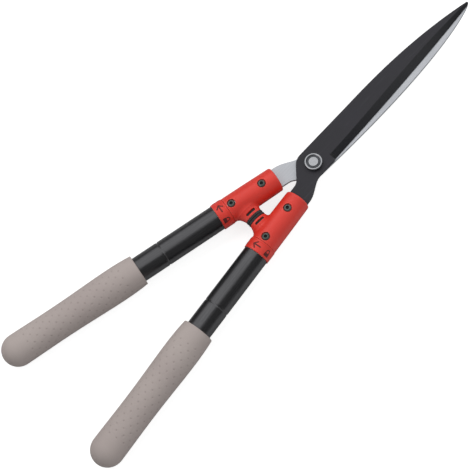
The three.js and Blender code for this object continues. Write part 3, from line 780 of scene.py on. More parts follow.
def bevel_lines(side, steps):
    """The cutting edge and the inner line of its bevel."""
    at = partial(on_blade, side)
    heel = BLADES[side]["heel"]
    edge = curve(
        steps, at(HEEL_REACH, -heel), at(BLADE_REACH * EDGE_BELLY[0], -heel * EDGE_BELLY[1]),
        at(BLADE_REACH - TIP_ROUND, -BLADES[side]["tip_drop"]))
    line = curve(
        steps, at(HEEL_REACH, BEVEL_WIDTH - heel),
        *(at(BLADE_REACH * a, -heel * d) for a, d in BEVEL_LINE),
        at(BLADE_REACH * BEVEL_TIP, TIP_ROUND / 3))
    return edge, line


def rounded_corner(before, corner, after, reach):
    start = corner + (before - corner) / abs(before - corner) * reach
    end = corner + (after - corner) / abs(after - corner) * reach
    return curve(8, start, corner, end)


def blade_outline(side):
    """The outline without its cutting edge: from the tip round the back to the heel."""
    at, tang_at = partial(on_blade, side), partial(on_tang, side)
    sizes = BLADES[side]
    outer = sizes["tang_shift"] + TANG_WIDTH / 2
    inner = sizes["tang_shift"] - TANG_WIDTH / 2
    tip_end = BLADE_REACH - TIP_ROUND
    tip = curve(6, at(tip_end, -sizes["tip_drop"]), at(BLADE_REACH - TIP_NOSE[0], -TIP_NOSE[1]),
                at(tip_end, TIP_ROUND))
    spine_start, near_pull, far_pull = [
        at(BLADE_REACH * a, sizes["spine"] * d) for a, d in sizes["spine_line"]]
    spine = curve(48, tip[-1], far_pull, near_pull, spine_start)

    shoulder = at(-SHOULDER_BACK, sizes["shoulder"])
    slope = at(-1, -math.tan(SHOULDER_SLOPE))
    tang_inner = tang_at(TANG_NECK[0], inner)
    run = tang_at(TANG_CURVE_REACH, inner) - tang_inner
    crotch = shoulder + slope * cross(tang_inner - shoulder, run) / cross(slope, run)
    half = TANG_END_WIDTH / 2
    tang = [tang_inner] + [tang_at(*place) for place in (
        (TANG_NECK[1], -half), (TANG_REACH, -half), (TANG_REACH, half), (TANG_NECK[1], half),
        (TANG_NECK[0], outer))]

    back = -sizes["heel_back"]
    heel_end = at(back, -sizes["ricasso"])
    swing = curve(
        24, tang_at(TANG_CURVE_REACH, outer),
        tang_at(TANG_CURVE_REACH - sizes["tang_pull"], outer),
        at(back - sizes["heel_pull"], -sizes["ricasso"]), heel_end)
    step = at(HEEL_REACH - EDGE_STEP, -sizes["ricasso"])
    heel = at(HEEL_REACH, -sizes["heel"])
    return np.concatenate([
        tip[1:], spine[1:], rounded_corner(spine_start, shoulder, crotch, SHOULDER_ROUND),
        rounded_corner(shoulder, crotch, tang_inner, CROTCH_ROUND), tang, swing,
        [step + (heel_end - step) * 0.04, step + (heel - step) * 0.06]])


def blade_shape(side, rim):
    """A blade with its flat face at height 0, and what kind each of its faces is.

    Sections of SECTION points, from the flat face over the rim or the bevel to the upper face,
    stand all round its outline.
    """
    edge, line = bevel_lines(side, 72)
    ring = np.concatenate([edge, blade_outline(side)])
    run = np.roll(ring, -1) - np.roll(ring, 1)
    away = -1j * run / abs(run) * np.sign(np.sum(cross(ring, np.roll(ring, -1))))
    top = BLADE_THICKNESS
    arc = np.radians((0, 30, 60, 90))

    # Sections along the back and the tang, with a small round at the foot and a larger rim
    inset = np.array([FOOT_ROUND, FOOT_ROUND * 0.3, 0, *(rim * (1 - np.cos(arc)))])
    plain = raised(ring[:, None] - away[:, None] * inset,
                   [0, FOOT_ROUND * 0.3, FOOT_ROUND, *(top - rim + rim * np.sin(arc))])
    plain_turns = raised(away[:, None] * [0, 0.7, 1, *np.cos(arc)], [-1, -0.7, 0, *np.sin(arc)])

    # Sections over the bevel, where narrow strips beside its two lines keep the shading flat
    start, out = edge[:, None], away[:len(edge), None]
    across = line[:, None] - start
    width = abs(across)
    near, far, past = BEVEL_STRIPS
    wide = np.maximum(width, 1)
    none = np.zeros_like(width)
    shares = np.hstack([none, none, none, none, near / wide, 1 - far / wide, 1 + past / width])
    lips = np.array([0, 0.015, EDGE_FLAT, BEVEL_EDGE_HEIGHT - EDGE_FLAT, *[BEVEL_EDGE_HEIGHT] * 3])
    ground = raised(start - out * [0.05, 0.015, 0, 0, 0, 0, 0] + across * shares,
                    np.minimum(lips + BEVEL_FALL * shares, top))
    ground_turns = raised(
        out * [0, 0.7, 1, 1, 0, 0, 0] - across / width * BEVEL_FALL * [0, 0, 0, 0, 1, 1, 0],
        np.hstack([none - 1, none - 0.7, none, none, width, width, none + 1]))

    # The step at the heel, from a plain section down to the bevel
    heel_way = on_blade(side, 1, 0)
    wall = plain[0] + raised(np.full(SECTION, heel_way * 0.04), 0)
    wall[3:] = raised(edge[0] + across[0] * [0, 0.02, 0.97, 1.02], [top - rim, top, top, top])
    wall_turns = raised(away[0] * np.array([0, 0.7, 1, 1, 0, 0, 0]), [-1, -0.7, 0, 0, 1, 1, 1])
    sunk = wall + raised(np.full(SECTION, heel_way * 0.12), [0, 0, 0, 0, -0.1, -0.1, -0.1])
    sunk_turns = wall_turns.copy()
    sunk_turns[4:] = (heel_way.real, heel_way.imag, 0.35)
    foot_turns = ground_turns[1].copy()
    foot_turns[4:6] = sunk_turns[4:6]
    sections = np.concatenate([
        ground[1:], plain[len(edge):], [plain[0], wall, sunk, ground[1] * 0.75 + sunk * 0.25]])
    turns = np.concatenate([
        ground_turns[1:], plain_turns[len(edge):],
        [plain_turns[0], wall_turns, sunk_turns, foot_turns]])

    total = len(sections)
    is_ground = [i < len(edge) - 1 or i >= total - 2 for i in range(total)]
    faces, kinds = [], []
    for i in range(total):
        k = (i + 1) % total
        a, b = i * SECTION, k * SECTION
        faces += [[a + j, b + j, b + j + 1, a + j + 1] for j in range(SECTION - 1)]
        kinds += (0, 3, 3, 1, 1, 1) if is_ground[i] and is_ground[k] else (0, 0, 0, 2, 2, 2)

    points = [sections.reshape(-1, 3)]
    normals = [turns.reshape(-1, 3)]
    first = total * SECTION
    loops = {0: [list(range(0, first, SECTION))],
             top: [list(range(SECTION - 1, first, SECTION))]}
    holes = [(0, PIVOT_HOLE)] + [(on_tang(side, reach, 0), SCREW_HOLE) for reach in SCREW_REACHES]
    for centre, radius in holes:
        for height, loop in loops.items():
            points.append(raised(centre + radius * wave(HOLE_SIDES), height))
            normals.append([(0, 0, 1 if height else -1)] * HOLE_SIDES)
            loop.append(list(range(first, first + HOLE_SIDES)))
            first += HOLE_SIDES
        low, high = loops[0][-1], loops[top][-1]
        for j in range(HOLE_SIDES):
            k = (j + 1) % HOLE_SIDES
            faces.append([low[j], high[j], high[k], low[k]])
            kinds.append(2)
    points, normals = np.concatenate(points), np.concatenate(normals)
    for loop in loops.values():
        numbers = sum(loop, [])
        flats = [[Vector((*points[n][:2], 0)) for n in part] for part in loop]
        for triangle in tessellate_polygon(flats):
            faces.append([numbers[corner] for corner in triangle])
            kinds.append(0)
    return points, faces, normals / np.linalg.norm(normals, axis=1)[:, None], kinds


def build_blade(side, looks):
    points, faces, normals, kinds = blade_shape(side, looks.edge_round / MM)
    if side == RIGHT:
        points[:, 2] += PARTING
        materials = [coated_steel(), ground_black(), worn_black(), worn_black()]
    else:
        points[:, 2] = -PARTING - points[:, 2]
        normals[:, 2] *= -1
        # The edge wall's finish is a painted sheen
        materials = [satin_steel(), ground_steel(), satin_steel(), whetted_edge()]
    blade = BLADES[side]
    obj = make_object(
        blade["piece"], (points, faces, normals), materials, blade_matrix(), kinds=kinds)
    dress(obj, FIXED_BODY[side], blade["slot"], blade["node"])


# Pivot

def nut_shape(across, bore, low, high, sides=72):
    """A nut with chamfered corners and a bored hole."""
    chamfer, slope = across * 0.48, math.tan(NUT_SLOPE)
    upper = hexagon(across, high, sides)
    lower = hexagon(across, low, sides)
    past = np.maximum(np.hypot(upper[:, 0], upper[:, 1]) - chamfer, 0)
    upper[:, 2] -= past * slope
    lower[:, 2] += past * slope
    lead = bore * 0.12
    return loft([
        circle(bore, low + lead, sides), circle(bore + lead, low, sides),
        circle(chamfer, low, sides), lower, upper, circle(chamfer, high, sides),
        circle(bore + lead, high, sides), circle(bore, high - lead, sides)], closed=True)


def build_pivot():
    top = SEAT + 5.1
    cap = [(0, SEAT + 2.9, 0), (9.7, SEAT + 2.9, 0.2), (9.7, SEAT, 0.1), (CAP_RADIUS, SEAT, 0.15),
           (CAP_RADIUS, top, 0.8), (8.9, top, 0.35), (8.5, CAP_TOP, 0.3), (7.7, CAP_TOP - 0.45, 0.2),
           (6.2, CAP_TOP - 0.45, 0.2), (5.6, CAP_TOP, 0.25), (0, CAP_TOP, 0)]
    washer = -SEAT - WASHER_HEIGHT
    cone = washer - FIT_GAP
    nut = cone - SPRING_RISE - SPRING_HEIGHT - FIT_GAP
    tail = nut - PIVOT_NUT_HEIGHT - PIVOT_NUT_RING - BOLT_TAIL
    thread = tail + 0.5
    bolt = [(0, tail, 0), (3.4, tail, 0.1), (THREAD_ROOT, thread, 0.05)]
    bolt += [(BOLT_RADIUS if i % 2 else THREAD_ROOT, thread + i * THREAD_RISE, 0.05)
             for i in range(1, 34)]
    bolt += [(BOLT_RADIUS, -2.5, 0.05), (BOLT_RADIUS, SEAT, 0.2), (9.3, SEAT, 0.1),
             (9.3, SEAT + 2.1, 0.1), (8.8, SEAT + 2.6, 0.1), (0, SEAT + 2.6, 0)]
    flat = [(PIVOT_HOLE, washer, 0.1), (10.5, washer, 0.35), (10.5, -SEAT, 0.2),
            (PIVOT_HOLE, -SEAT, 0.1)]
    spring = [(PIVOT_HOLE, cone - SPRING_RISE - SPRING_HEIGHT, 0.15),
              (8.6, cone - SPRING_RISE, 0.3), (8.6, cone, 0.15),
              (PIVOT_HOLE, cone - SPRING_HEIGHT, 0.15)]
    for name, node, corners, sides, steps, closed in (
            ("cap_disc", "pivot_cap", cap, 96, 5, False),
            ("clamp_bolt", "pivot_bolt", bolt, 48, 2, False),
            ("clamp_washer", "pivot_washer", flat, 72, 4, True),
            ("cone_washer", "pivot_spring_washer", spring, 72, 4, True)):
        slot = "cap_chrome" if name == "cap_disc" else "zinc_steel"
        materials = [cap_chrome(), cap_well()] if name == "cap_disc" else [zinc_steel()]
        obj = make_object(name, turned(corners, sides, steps, closed, True), materials,
                          blade_matrix())
        if name == "cap_disc":
            x, y, z = np.array([face.center for face in obj.data.polygons]).T / MM
            radii = np.hypot(x, y)
            # The sunk ring takes the finish with painted shade
            well = (radii > CAP_WELL[0]) & (radii < CAP_WELL[1]) & (z < -0.05) & (z > -1)
            obj.data.polygons.foreach_set("material_index", well.astype(np.int32))
        dress(obj, "black_side", slot, node)

    low = nut - PIVOT_NUT_HEIGHT
    foot = low - PIVOT_NUT_RING
    ring = turned([(PIVOT_HOLE, foot, 0.3), (5.9, foot, 0.9), (5.9, low + 0.1, 0.05),
                   (PIVOT_HOLE, low + 0.1, 0.05)], 72, 5, upright=True)
    shape = together(nut_shape(PIVOT_NUT_ACROSS, PIVOT_HOLE, low, nut), ring[:2])
    obj = make_object("clamp_nut", shape, [zinc_steel()], blade_matrix(), sharp=24)
    dress(obj, "black_side", "zinc_steel", "pivot_nut")


# Housings

def meet(a, b, round_):
    """The distance to what lies in both of two shapes, with a rounded edge."""
    u, v = a + round_, b + round_
    return np.minimum(np.maximum(u, v), 0) + np.hypot(np.maximum(u, 0), np.maximum(v, 0)) - round_


def joined(a, b, round_):
    """The distance to two shapes joined by a round fillet."""
    u, v = np.maximum(round_ - a, 0), np.maximum(round_ - b, 0)
    return np.maximum(round_, np.minimum(a, b)) - np.hypot(u, v)


def box_distance(points, low, high, round_):
    low, high = np.array(low), np.array(high)
    away = np.abs(points - (low + high) / 2) - (high - low) / 2 + round_
    outside = np.sqrt(np.sum(np.maximum(away, 0) ** 2, axis=-1))
    return outside + np.minimum(np.max(away, axis=-1), 0) - round_


def housing_distance(side, fillet):
    """A function that gives the distance from a housing's skin, negative inside it."""
    flare = curve(24, *BOSS_FLARE)
    turn = np.exp(1j * (math.pi - side * HANDLE_ANGLE))
    bend = np.polyfit(*zip(*HOUSING_RADII), 2)
    shift = BLADES[side]["tang_shift"]
    tang_low, tang_high = (-BLADE_TOP, -PARTING) if side == LEFT else (PARTING, BLADE_TOP)
    half_tang = TANG_WIDTH / 2 + TANG_ROOM

    def distance(p):
        x, y, z = p[..., 0], p[..., 1], p[..., 2]
        around = np.hypot(y, z)
        shell = meet(around - np.polyval(bend, x), HOUSING[0] - x, MOUTH_ROUND)
        shell = meet(shell, x - HOUSING[1], 0.5)

        flat = (x + 1j * (y - side * HANDLE_OFFSET)) * turn
        depth = side * flat.imag
        dx, dz = flat.real + BOSS_REACH, z / BOSS_HEIGHT_SHARE
        level = np.hypot(dx, dz)
        steep = np.sqrt(dx ** 2 + (dz / BOSS_HEIGHT_SHARE) ** 2) + 1e-9
        boss = (level - np.interp(depth, flare.imag, flare.real)) * level / steep
        boss = meet(boss, BOSS_END_DEPTH - depth, 0.9)
        boss = meet(boss, depth - BOSS_ROOT_DEPTH, 0.1)
        solid = joined(shell, boss, fillet)

        pocket = box_distance(
            np.stack([dx, depth, z], -1), (-POCKET[0], -2, -POCKET[2]), POCKET, 0.1)
        half = (SLOT_SIZE[0] - SLOT_SIZE[1]) / 2
        slot = np.hypot(np.maximum(np.abs(dx) - half, 0), depth - SLOT_DEPTH) - SLOT_SIZE[1] / 2
        solid = meet(solid, -np.minimum(pocket, slot), CUT_ROUND)

        tang = box_distance(
            np.stack([x, -side * y, z], -1),
            (HOUSING[0] - 4, shift - half_tang, tang_low - TANG_ROOM),
            (SOCKET_REACH + 2, shift + half_tang, tang_high + TANG_ROOM), CUT_ROUND)
        solid = meet(solid, -tang, CUT_ROUND)
        socket = np.maximum(around - INNER_RADIUS - SOCKET_ROOM, SOCKET_REACH - FIT_GAP - x)
        solid = meet(solid, -socket, 0.2)
        for reach in SCREW_REACHES:
            away = np.hypot(x - reach, y)
            seat = np.maximum(away - SCREW_SEAT_RADIUS, SCREW_SEAT_HEIGHT - z)
            flat_away = away * hexagon_share(np.arctan2(y, x - reach))
            nut = np.maximum(flat_away - NUT_ACROSS / 2 - FIT_GAP, z + SCREW_SEAT_HEIGHT)
            solid = meet(solid, -np.minimum(seat, nut), 0.35)
            solid = np.maximum(solid, SCREW_HOLE - away)
        return solid

    return distance


def slopes(distance, points, reach):
    """A distance function at some points, with its slope and how much it bulges there."""
    centre = distance(points)
    gradient = np.zeros(points.shape)
    bulge = -6 * centre
    for axis, step in enumerate(np.eye(3) * reach):
        ahead, behind = distance(points + step), distance(points - step)
        gradient[:, axis] = (ahead - behind) / (2 * reach)
        bulge += ahead + behind
    return centre, gradient, bulge / reach ** 2


def skinned(distance, low, high, step):
    """Mesh the surface where a distance function is zero. Gives points, faces, normals, bulge."""
    axes = [np.arange(a, b + step, step) for a, b in zip(low, high)]
    value = distance(np.stack(np.meshgrid(*axes, indexing="ij"), -1))
    solid = value < 0
    shape = np.array(value.shape) - 1
    offsets = list(np.ndindex(2, 2, 2))
    corners = np.stack([
        value[i:i + shape[0], j:j + shape[1], k:k + shape[2]] for i, j, k in offsets], -1)
    # One point in each cell that the surface crosses, amid its cuts through the cell's edges
    crossed = np.any(corners < 0, -1) & np.any(corners >= 0, -1)
    number = np.full(crossed.shape, -1)
    number[crossed] = np.arange(np.count_nonzero(crossed))
    values = corners[crossed]
    total = np.zeros((len(values), 3))
    weight = np.zeros(len(values))
    for a, first in enumerate(offsets):
        for b, second in enumerate(offsets):
            way = np.subtract(second, first)
            if b <= a or sum(abs(way)) != 1:
                continue
            cut = (values[:, a] < 0) != (values[:, b] < 0)
            share = values[:, a] / np.where(cut, values[:, a] - values[:, b], 1)
            total += np.where(cut[:, None], first + share[:, None] * way, 0)
            weight += cut
    points = np.array(low) + (np.argwhere(crossed) + total / weight[:, None]) * step

    # One face across each grid edge that the surface cuts, from the four cells round it
    faces = []
    for axis in range(3):
        sides = [(axis + 1) % 3, (axis + 2) % 3]
        where = np.argwhere(solid != np.roll(solid, -1, axis))
        keep = (where[:, axis] < shape[axis]) & np.all(where[:, sides] > 0, 1)
        where = where[keep & np.all(where[:, sides] < shape[sides], 1)]
        quad = []
        for back in ((0, 0), (1, 0), (1, 1), (0, 1)):
            cell = where.copy()
            cell[:, sides] -= back
            quad.append(number[tuple(cell.T)])
        quad = np.stack(quad, 1)
        entering = ~solid[tuple(where.T)]
        quad[entering] = quad[entering][:, ::-1]
        faces.append(quad)

    near, wide = SKIN_REACHES
    for _ in range(4):
        centre, gradient, _ = slopes(distance, points, near)
        move = -(centre / (np.sum(gradient ** 2, 1) + 0.05))[:, None] * gradient
        length = np.linalg.norm(move, axis=1)[:, None] + 1e-9
        points = points + move * np.minimum(1, 0.4 * step / length)
    _, gradient, bulge = slopes(distance, points, wide)
    normals = gradient / (np.linalg.norm(gradient, axis=1)[:, None] + 1e-9)
    return points, np.concatenate(faces).tolist(), normals, bulge


def build_housing(side, looks):
    out, back = (HOUSING_WIDE, HOUSING_NARROW)[::side]
    low = [HOUSING[0] - 1, -back, -HOUSING_NARROW]
    high = [HOUSING[1] + 1, out, HOUSING_NARROW]
    *shape, bulge = skinned(
        housing_distance(side, looks.fillet / MM), low, high, HOUSING_GRID)
    name = SIDES[side]
    # Convex edges are marked by their bulge for rub and painted highlight
    obj = make_object(f"{name}_moulding", shape, [red_plastic()], handle_matrix(side),
                      marks={"edge_rub_and_highlight": np.clip((bulge - EDGE_LIGHTENING[0]) / EDGE_LIGHTENING[1], 0, 1)})
    dress(obj, FIXED_BODY[side], "red_plastic", f"{name}_housing")


# Bumpers

def soft_block(low, high, round_):
    """A block with rounded edges."""
    shape = bmesh.new()
    bmesh.ops.create_cube(shape, size=1)
    low, high = np.array(low), np.array(high)
    for vert in shape.verts:
        vert.co = Vector((low + high) / 2 + np.array(vert.co) * (high - low))
    bmesh.ops.bevel(shape, geom=shape.edges[:], offset=round_, segments=3, profile=0.5,
                    affect="EDGES")
    shape.verts.index_update()
    points = np.array([vert.co for vert in shape.verts])
    faces = [[vert.index for vert in face.verts] for face in shape.faces]
    shape.free()
    return points, faces


def build_bumper(side):
    """A grooved pad on the boss, with a tongue in its pocket and a lug through its slot."""
    back = BOSS_END_DEPTH - 0.2
    points, faces, _ = turned([
        (0, PARTING, 0), (3.2, PARTING, 0.3), (3.5, PARTING + 0.25, 0.1),
        (8.4, PARTING + 0.25, 0.1), (8.8, PARTING, 0.3), (BUMPER_RADIUS, PARTING, 1.1),
        (BUMPER_RADIUS, back, 0.2), (0, back, 0)], 72, 6, closed=False)
    pad = points[:, [1, 0, 2]] * (1, 1, BOSS_HEIGHT_SHARE)
    tongue = soft_block((-TONGUE[0], back - 0.05, -TONGUE[2]), TONGUE, 0.3)
    lug = soft_block((-6, SLOT_DEPTH - 1.4, -6.2), (6, SLOT_DEPTH + 1.4, 6.2), 0.5)
    points, faces = together((pad, faces), tongue, lug)
    points = (points - (BOSS_REACH, 0, 0)) * (1, side, 1)
    obj = make_object(f"{SIDES[side]}_buffer", (points, faces), [black_rubber()],
                      blade_matrix(), sharp=50)
    dress(obj, FIXED_BODY[side], "black_rubber", f"{SIDES[side]}_bumper")


# Screws and nuts

def screw_pattern():
    """One socket screw, standing on its axis, for the node tree to copy."""
    seat, top, sides = SCREW_SEAT_HEIGHT + 0.1, SCREW_SEAT_HEIGHT + 2.6, 48
    rows = [(0.01, -16.1), (2.2, -16.1)]
    rows += [(2.5 if i % 2 else 2.2, -15.8 + i * 0.42) for i in range(24)]
    rows += [(2.5, -5), (2.5, seat), (4.35, seat), (4.6, seat + 0.2), (4.6, seat + 0.65),
             (4.5, seat + 1.0), (4.2, seat + 1.5), (3.75, seat + 1.95), (3.2, seat + 2.3),
             (2.8, top - 0.04), (2.6, top)]
    rows = [circle(radius, height, sides) for radius, height in rows]
    rows += [hexagon(4.2, top - 0.02, sides), hexagon(3.9, top - 0.25, sides),
             hexagon(3.9, top - 1.7, sides), circle(0.01, top - 2.1, sides)]
    # The socket's rows are marked for painted shade
    sunk = np.repeat(np.arange(len(rows)) >= len(rows) - 3, sides)
    return make_object("screw_pattern", loft(rows, capped=True), [black_screw()],
                       sharp=32, marks={"socket": sunk})


def nut_pattern():
    """One nut under a housing, for the node tree to copy."""
    top = -SCREW_SEAT_HEIGHT - 0.15
    shape = nut_shape(NUT_ACROSS, 2.6, top - 2.7, top, 48)
    return make_object("nut_pattern", shape, [zinc_steel()], sharp=24)


def row_form():
    """A node tree that sets a pattern at two places along the X axis."""
    form = Form("screws_along_a_housing", {
        "Pattern": "Object", "Finish": "Material", "Front Reach": "Float", "Rear Reach": "Float"})
    front, rear = form.inputs["Front Reach"], form.inputs["Rear Reach"]
    line = form.node("GeometryNodeMeshLine", {
        "Count": 2, "Start Location": form.node("ShaderNodeCombineXYZ", {"X": front})[0],
        "Offset": form.node("ShaderNodeCombineXYZ", {"X": rear - front})[0]}, mode="OFFSET")[0]
    return form.end(form.copies(line, form.inputs["Pattern"]))


def build_fixings():
    screw, nut = screw_pattern(), nut_pattern()
    form = row_form()
    front, rear = (reach * MM for reach in SCREW_REACHES)
    for side, name in SIDES.items():
        for label, pattern, finish in (("screw", screw, black_screw), ("nut", nut, zinc_steel)):
            obj = form.grow(f"{name}_housing_{label}s", {
                "Pattern": pattern, "Finish": finish(), "Front Reach": front, "Rear Reach": rear})
            obj.data.transform(handle_matrix(side))
            dress(obj, FIXED_BODY[side], finish.__name__,
                  f"{name}_front_{label}", f"{name}_rear_{label}")
    for pattern in (screw, nut):
        bpy.data.objects.remove(pattern)


# Tubes and lock collars

def build_tubes(side):
    name = SIDES[side]
    near, far = OUTER_TUBE
    groove = 1.1
    outer = turned([
        (OUTER_BORE, near, 0.15), (OUTER_RADIUS, near, 0.35),
        (OUTER_RADIUS, STOP_GROOVE - groove - 0.2, 0.5),
        (OUTER_RADIUS - 0.6, STOP_GROOVE - 0.25, 0.5), (OUTER_RADIUS - 0.6, STOP_GROOVE + 0.25, 0.5),
        (OUTER_RADIUS, STOP_GROOVE + groove + 0.2, 0.5),
        (OUTER_RADIUS, far, 0.2), (OUTER_BORE, far, 0.2),
        (OUTER_BORE, STOP_GROOVE + groove, 0.4), (OUTER_BORE - 0.5, STOP_GROOVE, 0.5),
        (OUTER_BORE, STOP_GROOVE - groove, 0.4)], 96, 5)
    obj = make_object(f"{name}_slide_tube", outer, [black_tube(side)], handle_matrix(side))
    dress(obj, f"{name}_handle", "black_tube", f"{name}_outer_tube")

    inner = turned([
        (INNER_BORE, SOCKET_REACH, 0.1), (INNER_RADIUS, SOCKET_REACH, 0.2),
        (INNER_RADIUS, INNER_END, 0.3), (INNER_BORE, INNER_END, 0.2)], 96, 3)
    obj = make_object(f"{name}_fixed_tube", inner, [tube_aluminium(side)], handle_matrix(side))
    dress(obj, FIXED_BODY[side], "tube_aluminium", f"{name}_inner_tube")


def stroke(path, width, height):
    """A raised line on a collar, along a path of points (along, around)."""
    fine = [path[0]]
    for a, b in zip(path, path[1:]):
        steps = max(1, math.ceil(abs(b - a) / 0.5))
        fine += [a + (b - a) * j / steps for j in range(1, steps + 1)]
    run = np.gradient(np.array(fine))
    across = 1j * run / abs(run) * width
    shares = np.array([-0.5, -0.5, -0.38, 0.38, 0.5, 0.5])
    rises = [-0.2, height * 0.6, height, height, height * 0.6, -0.2]
    return loft(raised(np.array(fine)[:, None] + across[:, None] * shares, rises), capped=True)


def wrapped(shape, place, angle):
    """A flat relief laid round a collar at an angle from the top towards the row's +Y."""
    points, faces = shape
    radius = COLLAR_RADIUS + points[:, 2]
    turn = math.radians(angle) + MARK_SIZE * points[:, 1] / COLLAR_RADIUS
    return np.stack([place + MARK_SIZE * points[:, 0], radius * np.sin(turn),
                     radius * np.cos(turn)], 1), faces


def arrow_mark():
    return [stroke([4j, -3.6j], 1.2, 0.22), stroke([3.2 - 0.4j, -3.8j, -3.2 - 0.4j], 1.2, 0.25)]


def padlock_mark(lift):
    """A padlock, its bow towards the blades and lifted out on one side, or not at all."""
    turn = np.linspace(0, math.pi, 11)
    bow = -0.9 - lift - 1.7 * np.sin(turn) + 1.6j * np.cos(turn)
    legs = [0.4 + 1.6j, *bow, -1 - 1.6j if lift else 0.4 - 1.6j]
    return [stroke([1.9 - 2.5j, 1.9 + 2.5j], 3.2, 0.25), stroke(legs, 0.85, 0.22)]


def build_collar(side):
    name = SIDES[side]
    near, far = COLLAR
    collar = turned([
        (13.2, near, 0.1), (16.0, near, 0.3), (COLLAR_RADIUS, near + 0.5, 0.4),
        (COLLAR_RADIUS, near + 2.2, 0.1), (COLLAR_RADIUS - 0.25, near + 2.4, 0.1),
        (COLLAR_RADIUS - 0.25, near + 2.8, 0.1), (COLLAR_RADIUS, near + 3, 0.1),
        (COLLAR_RADIUS, far, 0.6), (15.5, far, 0.15), (15.5, near + 8.5, 0.05),
        (15.8, near + 8.3, 0.05), (15.8, near + 6.3, 0.05), (15.5, near + 6.1, 0.05),
        (15.5, near + 1.8, 0.1), (13.2, near + 1.8, 0.1)], 96)
    obj = make_object(f"{name}_turn_collar", collar, [red_plastic()], handle_matrix(side))
    dress(obj, f"{name}_lock", "red_plastic", f"{name}_lock_collar")

    marks = ((arrow_mark(), -5), (padlock_mark(0), 50), (padlock_mark(1.3), -76))
    shapes = [wrapped(line, near + 7.4, angle) for lines, angle in marks for line in lines]
    obj = make_object(f"{name}_collar_marks", together(*shapes), [collar_mark()],
                      handle_matrix(side), sharp=40)
    dress(obj, f"{name}_lock", "red_plastic")


# Grips

def grip_curve():
    """The grip's radius along it: middle, half length, and factors of a polynomial.

    It passes through GRIP_RADII and is level where the round end begins.
    """
    places, radii = np.array(GRIP_RADII).T
    middle, half = places.mean(), (places[-1] - places[0]) / 2
    powers = np.arange(5)
    rows = [t ** powers for t in (places - middle) / half]
    rows.append(powers * ((places[-1] - middle) / half) ** np.maximum(powers - 1, 0))
    return middle, half, np.linalg.solve(rows, [*radii, 0])


def grip_radius(place):
    middle, half, factors = grip_curve()
    return np.polyval(factors[::-1], (place - middle) / half)


def tile_pattern(pitch, around, dimple):
    """One tile of the grip's surface with a dimple, for the node tree.

    X is in metres, Y in tiles round the grip, and Z from 0 to -1 at the dimple's bottom.
    """
    sides, ends = np.arange(TILE_SIDES) / TILE_SIDES, np.arange(TILE_ENDS) / TILE_ENDS
    border = np.concatenate([
        -0.5 + 1j * (sides - 0.5), ends - 0.5 + 0.5j, 0.5 + 1j * (0.5 - sides), 0.5 - ends - 0.5j])
    way = np.exp(1j * np.angle(border.real * pitch + 1j * border.imag * around))
    rows = [raised(border.real * pitch + 1j * border.imag, 0)]
    for share, depth in DIMPLE_RINGS:
        ring = dimple * share * way
        rows.append(raised(ring.real + 1j * ring.imag / around, depth))
    points, faces = loft(rows)
    last, count = len(points) - len(border), len(border)
    faces += [[last + j, last + (j + 1) % count, len(points)] for j in range(count)]
    return put("dimple_tile", plain_mesh("dimple_tile", [*points, (0, 0, -1)], faces))


def grip_form():
    """A node tree that lays dimpled tiles round a grip and joins them to its ends."""
    form = Form("dimpled_grip", {
        "Tile": "Object", "Finish": "Material", "Tiles Along": "Int", "Tiles Around": "Int",
        "First Reach": "Float", "Pitch": "Float", "Dimple Depth": "Float"})
    given = form.inputs
    along, around, pitch = given["Tiles Along"], given["Tiles Around"], given["Pitch"]
    grid = form.node("GeometryNodeMeshGrid", {
        "Size X": (along - 1) * pitch, "Size Y": around - 1,
        "Vertices X": along, "Vertices Y": around})["Mesh"]
    # Every second row is turned by half a tile
    column = (form.node("GeometryNodeInputIndex")[0] / around).maths("FLOOR")
    shift = form.node("ShaderNodeCombineXYZ", {
        "X": (along - 1) * pitch * 0.5 + pitch * 0.5, "Y": (column % 2) * 0.5})[0]
    shifted = form.node("GeometryNodeSetPosition", {"Geometry": grid, "Offset": shift})[0]
    tiles = form.copies(shifted, given["Tile"])

    spot = form.node("GeometryNodeInputPosition")[0]
    axes = form.node("ShaderNodeSeparateXYZ", {0: spot})
    # Each point's depth into its dimple, stored for the grip's painted shade
    marked = form.node(
        "GeometryNodeStoreNamedAttribute",
        {"Geometry": tiles, "Name": "hollow", "Value": 0 - axes["Z"]},
        data_type="FLOAT", domain="POINT")["Geometry"]
    reach = axes["X"] + given["First Reach"]
    middle, half, factors = grip_curve()
    t = (reach - middle * MM) / (half * MM)
    radius = t * float(factors[-1]) + float(factors[-2])
    for factor in factors[-3::-1]:
        radius = radius * t + float(factor)
    radius = radius * MM + axes["Z"] * given["Dimple Depth"]
    angle = axes["Y"] * (2 * math.pi) / around
    bent = form.node("ShaderNodeCombineXYZ", {
        "X": reach, "Y": radius * angle.maths("COSINE"), "Z": radius * angle.maths("SINE")})[0]
    laid = form.node("GeometryNodeSetPosition", {"Geometry": marked, "Position": bent})[0]
    join = form.node("GeometryNodeJoinGeometry", {0: laid})
    form.nodes_of.links.new(given["Geometry"].socket, join.node.inputs[0])
    welded = form.node("GeometryNodeMergeByDistance", {"Geometry": join[0], "Distance": 0.00003})[0]
    return form.end(form.node("GeometryNodeSetShadeSmooth", {"Geometry": welded})[0])


def grip_ends(start, end, sides):
    """The mouth, bore and round end of a grip, open where the tiles go."""
    mouth, tip = GRIP
    ball = GRIP_RADII[-1][1]
    centre = tip - ball
    bore, bore_end = GRIP_BORE
    front = [(0, bore_end), (bore - 0.3, bore_end), (bore, bore_end - 0.3), (bore, mouth + 0.6),
             (bore + 0.25, mouth + 0.1), (bore + 0.6, mouth), (18.3, mouth), (18.9, mouth + 0.12),
             (19.25, mouth + 0.45), (19.42, mouth + 0.95)]
    front += [(grip_radius(place), place) for place in np.linspace(mouth + 1.6, start, 7)]
    back = [(grip_radius(place), place) for place in np.linspace(end, centre, 6)]
    back += [(ball * math.cos(a), centre + ball * math.sin(a))
             for a in np.radians(np.linspace(0, 90, 19))[1:-1]] + [(0, tip)]
    ends = [turned([(*corner, 0) for corner in part], sides, closed=False)[:2]
            for part in (front, back)]
    return plain_mesh("grip_ends", *together(*ends), size=MM)


